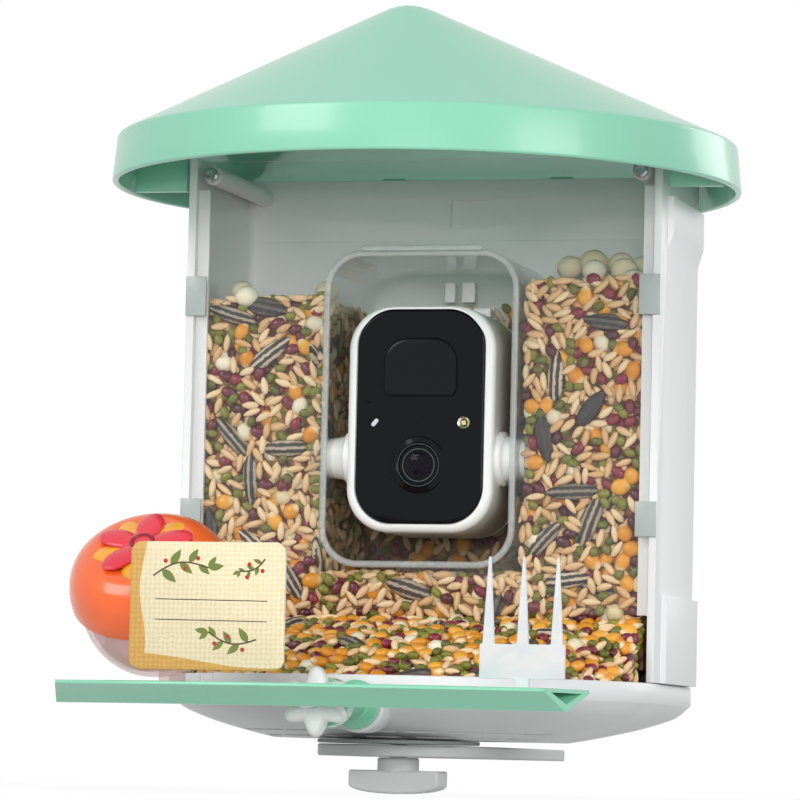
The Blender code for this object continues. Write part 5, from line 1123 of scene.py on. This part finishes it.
def perch_tube(corners):
    """Rings of the perch along its arc, with slanted ends, from the corners (across, z)."""
    rings = []
    for i in range(PERCH_STEPS + 1):
        ring = []
        for across, z in corners:
            radius = PERCH_ARC - across
            share = (across + PERCH_HALF) / (2 * PERCH_HALF)
            right, left = (math.asin((front + (back - front) * share) / radius)
                           for front, back in (PERCH_RIGHT_END, PERCH_LEFT_END))
            angle = (right + left) * i / PERCH_STEPS - left
            ring.append((radius * math.sin(angle), PERCH_MIDDLE_Y + PERCH_ARC - radius * math.cos(angle),
                         z))
        rings.append(ring)
    return rings


outside = bow(PERCH_HALF - PERCH_ROUND, PERCH_TOP - PERCH_ROUND, PERCH_ROUND, -20, 90, 4)
outside += bow(PERCH_ROUND - PERCH_HALF, PERCH_TOP - PERCH_ROUND, PERCH_ROUND, 90, 200, 4)
for side, start in ((-1, 215), (1, 270)):
    outside += bow(side * (PERCH_FOOT - PERCH_FOOT_ROUND), PERCH_LOW + PERCH_FOOT_ROUND,
                   PERCH_FOOT_ROUND, start, start + 55, 3)
drop = PERCH_TOP - PERCH_WALL
hollow = [(PERCH_HALF - HOLLOW_INSET, drop), (HOLLOW_INSET - PERCH_HALF, drop),
          (0, PERCH_LOW + HOLLOW_FOOT)]
bm = skinned(perch_tube(outside), capped=False)
inner = skinned(perch_tube(hollow), capped=False)
bmesh.ops.reverse_faces(inner, faces=inner.faces)
bm.from_mesh(mesh_of(inner, "perch_hollow"))
for side, hand in SIDES:
    rims = [e for e in bm.edges if e.is_boundary and side * e.verts[0].co.x > 0]
    bmesh.ops.bridge_loops(bm, edges=rims)
bmesh.ops.recalc_face_normals(bm, faces=bm.faces)
perch_green = polished("mint_moulded_perch", "86D2B0", 0.22, 0.5)
piece("perch_rail", bm, perch_green, "feeder", "perch_bar", slot="mint_abs", smooth=35)

ARM_Z, ARM_RADIUS, FLANGE_RADIUS, HUB_RADIUS = 0.0182, 0.0045, 0.0088, 0.0087


def along_the_arm(profile, steps=72):
    """A turned mesh on the perch arm's line, from (radius, distance to the front)."""
    bm = spun(profile, steps)
    bm.transform(Matrix.Translation((0, 0, ARM_Z)) @ turned(90, "X"))
    return bm


low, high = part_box("perch_arm")
bm = along_the_arm([(0, -low.y), (HUB_RADIUS - 0.0006, -low.y), (HUB_RADIUS, -low.y - 0.0006),
                    (HUB_RADIUS, -low.y - 0.0080), (ARM_RADIUS + 0.0012, -low.y - 0.0086),
                    (ARM_RADIUS, -low.y - 0.0100), (ARM_RADIUS, 0.0802), (ARM_RADIUS + 0.0008, 0.0794),
                    (FLANGE_RADIUS - 0.0004, 0.0793), (FLANGE_RADIUS, 0.0789),
                    (FLANGE_RADIUS, 0.0767), (FLANGE_RADIUS - 0.0004, 0.0763),
                    (ARM_RADIUS, 0.0763), (ARM_RADIUS, -high.y), (0, -high.y)])
piece("perch_arm_turned", bm, perch_green, "feeder", "perch_arm", slot="mint_abs")
copied("perch_stud_steel", "perch_stud", zinc, "feeder", "zinc_steel", smooth=42)


# Star knob: a white plastic nut with six soft lobes, in the same satin ABS as the camera. It is turned by
# hand on the stud and clamps the perch to its arm.
STAR_MEAN, STAR_LOBE, STAR_LOBES, STAR_STEPS = 0.0101, 0.0021, 6, 144
STAR_PROFILE = ((0.30, 0.0), (0.62, 0.012), (0.80, 0.05), (0.92, 0.13), (0.985, 0.26), (1.0, 0.42),
                (1.0, 0.70), (0.96, 0.86), (0.88, 0.96), (0.78, 1.0))     # shares of radius and depth
low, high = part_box("star_knob")


def star_ring(share, y):
    """A ring of the star, drawn in by a share of its size."""
    points = []
    for i in range(STAR_STEPS):
        angle = 2 * math.pi * i / STAR_STEPS
        radius = (STAR_MEAN + STAR_LOBE * math.cos(STAR_LOBES * (angle - math.pi / 2))) * share
        points.append((radius * math.cos(angle), y, ARM_Z + radius * math.sin(angle)))
    return points


deep = high.y - low.y
bm = skinned([star_ring(share, low.y + deep * depth) for share, depth in STAR_PROFILE])
piece("star_knob_moulding", bm, satin_white, "star_knob", "star_knob", slot="white_abs", smooth=60)


# Sign: a thin board printed with a linen look on a clear stem that plugs into the perch. The face has a
# tan wave, plain sprigs with berries and two bare ruled lines to write on.
SIGN_LEFT, SIGN_RIGHT, SIGN_LOW, SIGN_HIGH, SIGN_CORNER = -0.0593, -0.0038, 0.0278, 0.0718, 0.004
SIGN_FRONT, SIGN_BACK = -0.158, -0.156
PRINT_THICK = 0.00006
THREAD_MM, CLOUD_MM = 0.85, 5     # the threads coarser than real linen, so that the weave shows
SIDE_WAVE, FOOT_WAVE = (7.4, 0.022, 0.085), (3.6, 0.055, 0.075)       # turns, swing and middle
RULED_LINES = (((-0.0500, 0.0520), (-0.0100, 0.0516)), ((-0.0500, 0.0450), (-0.0100, 0.0446)))
STALK_WIDE, RULE_WIDE, BERRY_RADIUS, BERRY_STALK = 0.0005, 0.0003, 0.00075, 0.0022
SPRIGS = ((-0.0510, 0.0600, 0.0200, 8), (-0.0135, 0.0385, 0.0175, 172),      # place, size and turn
          (-0.0110, 0.0660, 0.0100, 205))

sign_ring = outline((SIGN_RIGHT - SIGN_LEFT) / 2, SIGN_LOW, SIGN_HIGH, SIGN_CORNER,
                    (SIGN_LEFT + SIGN_RIGHT) / 2)


def linen_print(name):
    """Printed linen: two crossed thread patterns, a cloudy ground and the tan wave."""
    made, tree, shader = blank(name)
    where = add(tree, "TexCoord").outputs["Object"]
    parts = add(tree, "SeparateXYZ", {0: where}).outputs
    threads = [add(tree, "TexWave", {"Vector": where, "Scale": 1000 / THREAD_MM / 6.283,
                                     "Distortion": 3.5, "Detail": 2.0, "Detail Scale": 2.0},
                   bands_direction=axis).outputs["Fac"] for axis in ("X", "Z")]
    weave = maths(tree, "ADD", *threads)
    shade = maths(tree, "MULTIPLY_ADD", noise(tree, where, CLOUD_MM, 3.0), 0.9, weave)
    depth = ramp(tree, shade, (0.3, 2.3))
    ground = blend(tree, depth, linear("E0CFA2"), linear("F0E4C4"))
    tan = blend(tree, depth, linear("CC9A4C"), linear("DDB064"))
    height = ramp(tree, parts["Z"], (SIGN_LOW, SIGN_HIGH))
    width = ramp(tree, parts["X"], (SIGN_LEFT, SIGN_RIGHT))
    bend = maths(tree, "SINE", maths(tree, "MULTIPLY", height, SIDE_WAVE[0]))
    left = maths(tree, "LESS_THAN", width, maths(tree, "MULTIPLY_ADD", bend, *SIDE_WAVE[1:]))
    bend = maths(tree, "COSINE", maths(tree, "MULTIPLY", width, FOOT_WAVE[0]))
    under = maths(tree, "LESS_THAN", height, maths(tree, "MULTIPLY_ADD", bend, *FOOT_WAVE[1:]))
    bump = add(tree, "Bump", {"Height": weave, "Distance": 0.00005, "Strength": 0.4})
    feed(tree, shader, {"Base Color": blend(tree, maths(tree, "MAXIMUM", left, under), ground, tan),
                        "Normal": bump.outputs[0], "Roughness": 0.55})
    return made


bm = skinned([sign_ring(0.0004, SIGN_BACK), sign_ring(0.0, SIGN_BACK - 0.0004),
              sign_ring(0.0, SIGN_FRONT + 0.0004), sign_ring(0.0004, SIGN_FRONT)])
piece("sign_face", bm, linen_print("linen_printed_board"), "feeder", "sign_board", slot="sign_board",
      smooth=50)


def printed(name, shapes, code, over=1):
    """Flat printed shapes on the sign's face, each a list of (x, z) round its edge."""
    bm = bmesh.new()
    for number, shape in enumerate(shapes):
        level = SIGN_FRONT - PRINT_THICK * over - 0.000001 * number
        base = bm.faces.new([bm.verts.new((x, level, z)) for x, z in shape])
        pulled(bm, [base], (0, PRINT_THICK * 0.8, 0))
    bmesh.ops.recalc_face_normals(bm, faces=bm.faces)
    return piece(name, bm, moulded(f"{name}_ink", code, 0.55, shade=0.2), "feeder")


def leaf(x, z, length, turn, half_share=0.22):
    """A pointed leaf from its stalk at a place, turned in degrees from the right."""
    side = [(length * t, length * half_share * math.sin(math.pi * t ** 0.8))
            for t in (i / 8 for i in range(9))]
    around = side + [(a, -b) for a, b in side[-2:0:-1]]
    c, s = math.cos(math.radians(turn)), math.sin(math.radians(turn))
    return [(x + a * c - b * s, z + a * s + b * c) for a, b in around]


def strip(points, width):
    """A thin printed line along points."""
    upper, lower = [], []
    for i, (x, z) in enumerate(points):
        before, after = points[max(i - 1, 0)], points[min(i + 1, len(points) - 1)]
        run = Vector((after[0] - before[0], after[1] - before[1])).normalized() * width / 2
        upper.append((x - run.y, z + run.x))
        lower.append((x + run.y, z - run.x))
    return upper + lower[::-1]


leaves, stalks, berries = [], [], []
for start_x, start_z, size, turn in SPRIGS:
    c, s = math.cos(math.radians(turn)), math.sin(math.radians(turn))
    line = []
    for i in range(13):
        t = i / 12
        a, b = size * t, size * 0.16 * math.sin(math.pi * t)
        line.append((start_x + a * c - b * s, start_z + a * s + b * c))
    stalks.append(strip(line, STALK_WIDE))
    for i, (x, z) in enumerate(line[2::2]):
        lean = turn + (48 if i % 2 else -48)
        leaves.append(leaf(x, z, size * (0.34 - 0.02 * i), lean))
    tip_x, tip_z = line[-1]
    leaves.append(leaf(tip_x, tip_z, size * 0.28, turn))
    for i in (3, 7, 10):
        x, z = line[i]
        off = -BERRY_STALK if i == 7 else BERRY_STALK
        berries.append(bow(x - s * off, z + c * off, BERRY_RADIUS, 0, 345, 15))
printed("sprig_leaves", leaves, "6F7F3A")
printed("sprig_stalks", stalks, "4A3A22", over=2)
printed("sprig_berries", berries, "B0342C", over=3)
printed("ruled_lines", [strip(line, RULE_WIDE) for line in RULED_LINES], "2A241E")

copied("sign_stem_clear", "sign_stem", clear_pc, "feeder", "clear_pc")


# Fruit fork: three tapering tines over a square plate, moulded in milky polypropylene. It is thin enough
# for the seed behind to show through.
milky = clear("milky_polypropylene", "F2F5F7", 1.45, roughness=0.22, haze=0.62, haze_code="F2F4F6")
copied("fruit_fork_moulding", "fruit_fork", milky, "feeder", "frosted_pp")


# Nectar feeder: a clear pink bowl with an orange lid that twists on, and a flower round the dish that a
# bird drinks from. Its axis leans to the front, and a foot plugs it into the perch.
BALL_PLACE, BALL_LEAN = (-0.0612, -0.1268, 0.0565), 40
NECTAR_RADIUS, NECTAR_DEPTH, NECTAR_WALL = 0.0262, 0.0322, 0.0018
LID_RADIUS, LID_HEIGHT, LID_SKIRT, LID_WALL = 0.0290, 0.0185, 0.0012, 0.0018
LID_PROFILE = ((1.0, 0.0), (1.0, 0.22), (0.96, 0.52), (0.86, 0.80), (0.70, 0.97), (0.55, 1.0),
               (0.42, 0.95), (0.30, 0.885), (0.0, 0.865))                # shares of radius and height
LID_ROUNDS = (0.01, 0.012, 0.012, 0.012, 0.012, 0.01, 0.01)
MOUTH_PROFILE = ((0, 0.0020), (0.0016, 0.0020), (0.0028, 0.0022), (0.0034, 0.0031), (0.0040, 0.0031),
                 (0.0046, 0.0022), (0.0046, 0.0008), (0, 0.0008))
leaning = Matrix.Translation(BALL_PLACE) @ turned(BALL_LEAN, "X")


def leaned(bm):
    """Set a mesh made along Z on the nectar feeder's leaning axis."""
    bm.transform(leaning)
    return bm


def rounded_line(points, rounds, steps=5):
    """A line through points, with each inner corner turned by a radius."""
    line = [points[0]]
    for before, here, after, radius in zip(points, points[1:], points[2:], rounds):
        a, b, c = Vector(before), Vector(here), Vector(after)
        to_a, to_c = (a - b).normalized(), (c - b).normalized()
        half = to_a.angle(to_c) / 2
        run = min(radius / math.tan(half), (a - b).length * 0.48, (c - b).length * 0.48)
        start, end = b + to_a * run, b + to_c * run
        for i in range(steps + 1):
            t = i / steps
            line.append(tuple(start * (1 - t) ** 2 + b * 2 * t * (1 - t) + end * t ** 2))
    return line + [points[-1]]


lid_points = [(LID_RADIUS * r, LID_HEIGHT * z) for r, z in LID_PROFILE]
over = rounded_line(lid_points, LID_ROUNDS)
brim = LID_RADIUS - LID_SKIRT
under = [(brim, 0), (brim, LID_HEIGHT * 0.22)]
under += [(r - 0.0015, z - LID_WALL) for r, z in over if z > LID_HEIGHT * 0.30 and r > 0.0016]
under += [(0, lid_points[-1][1] - LID_WALL)]
orange_pp = polished("orange_moulded_pp", "F2641F", 0.24, 0.4)
bm = leaned(spun(over[::-1] + under, 128))
piece("nectar_lid_moulding", bm, orange_pp, "nectar_lid", "nectar_lid", slot="orange_pp", smooth=50)
straight = NECTAR_DEPTH - NECTAR_RADIUS
outer = bow(0, -straight, NECTAR_RADIUS, -90, 0, 24) + [(NECTAR_RADIUS, -0.0005)]
inner = [(NECTAR_RADIUS - NECTAR_WALL, -0.0005)]
inner += bow(0, -straight, NECTAR_RADIUS - NECTAR_WALL, 0, -90, 24)
pink_clear = clear("pink_clear_pet", "F8E9E8", 1.5, haze=0.16, haze_code="F6E2E2")
bm = leaned(spun(outer + inner, 96))
piece("nectar_bowl_moulding", bm, pink_clear, "feeder", "nectar_bowl", slot="pink_clear_pet", smooth=60)
copied("nectar_foot_clear", "nectar_foot", pink_clear, "feeder", "pink_clear_pet")


def egg(bm, place, size):
    """Add a ball drawn out to a size each way."""
    bmesh.ops.create_uvsphere(bm, u_segments=32, v_segments=16, radius=1,
                              matrix=place @ Matrix.Diagonal((*size, 1)))


def petals(name, reach, half, thick, lift, turn, material, core=0.0, droop=0.0):
    """Five soft petals grown into one, round an open middle."""
    bm = bmesh.new()
    for i in range(5):
        spread = turned(turn + 72 * i, "Z")
        tip = spread @ Matrix.Translation((reach * 0.58, 0, lift)) @ Matrix.Rotation(droop, 4, "Y")
        egg(bm, tip, (reach * 0.43, half, thick))
        egg(bm, spread @ Matrix.Translation((reach * 0.30, 0, lift)),
            (reach * 0.34, half * 0.62, thick * 0.9))
    if core:
        egg(bm, Matrix.Translation((0, 0, lift)), (core, core, thick))
    made = piece(name, leaned(bm), material, "nectar_lid", smooth=180)
    remesh = made.modifiers.new("grown_together", "REMESH")
    remesh.mode = "VOXEL"
    remesh.voxel_size = 0.00045
    remesh.use_smooth_shade = True
    soft = made.modifiers.new("softened", "SMOOTH")
    soft.factor = 0.5
    soft.iterations = 8
    return made


yellow_pp = moulded("yellow_moulded_pp", "F6A81E", 0.30, shade=0.05, coat=0.3)
red_pp = moulded("red_moulded_pp", "E4283E", 0.28, shade=0.05, coat=0.3)
petals("lower_petals", 0.0205, 0.0050, 0.0013, LID_HEIGHT - 0.0006, 54, yellow_pp, droop=0.10)
top_flower = petals("upper_petals", 0.0178, 0.0050, 0.0014, LID_HEIGHT + 0.0012, 90, red_pp, core=0.0070)
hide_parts("nectar_flower")
bm = leaned(spun([(radius, LID_HEIGHT + up) for radius, up in MOUTH_PROFILE], 48))
dark_red = moulded("dark_red_moulded_pp", "8E1424", 0.4)
piece("flower_mouth", bm, dark_red, "nectar_lid")


# Parts inside the closed camera: a green board, two sleeved cells and the motion sensor. They carry over
# as they are, each with its own finish.
board_green = moulded("green_solder_mask", "1F5B3A", 0.45, skin_mm=1.2, skin_depth_mm=0.02, shade=0.3)
cell_sleeve = moulded("blue_cell_sleeve", "3A6EA5", 0.35, shade=0.1)
for node, finish in (("circuit_board", board_green), ("battery_cell_left", cell_sleeve),
                     ("battery_cell_right", cell_sleeve), ("motion_sensor", satin_white)):
    nodes[node].data.materials.clear()
    nodes[node].data.materials.append(finish)
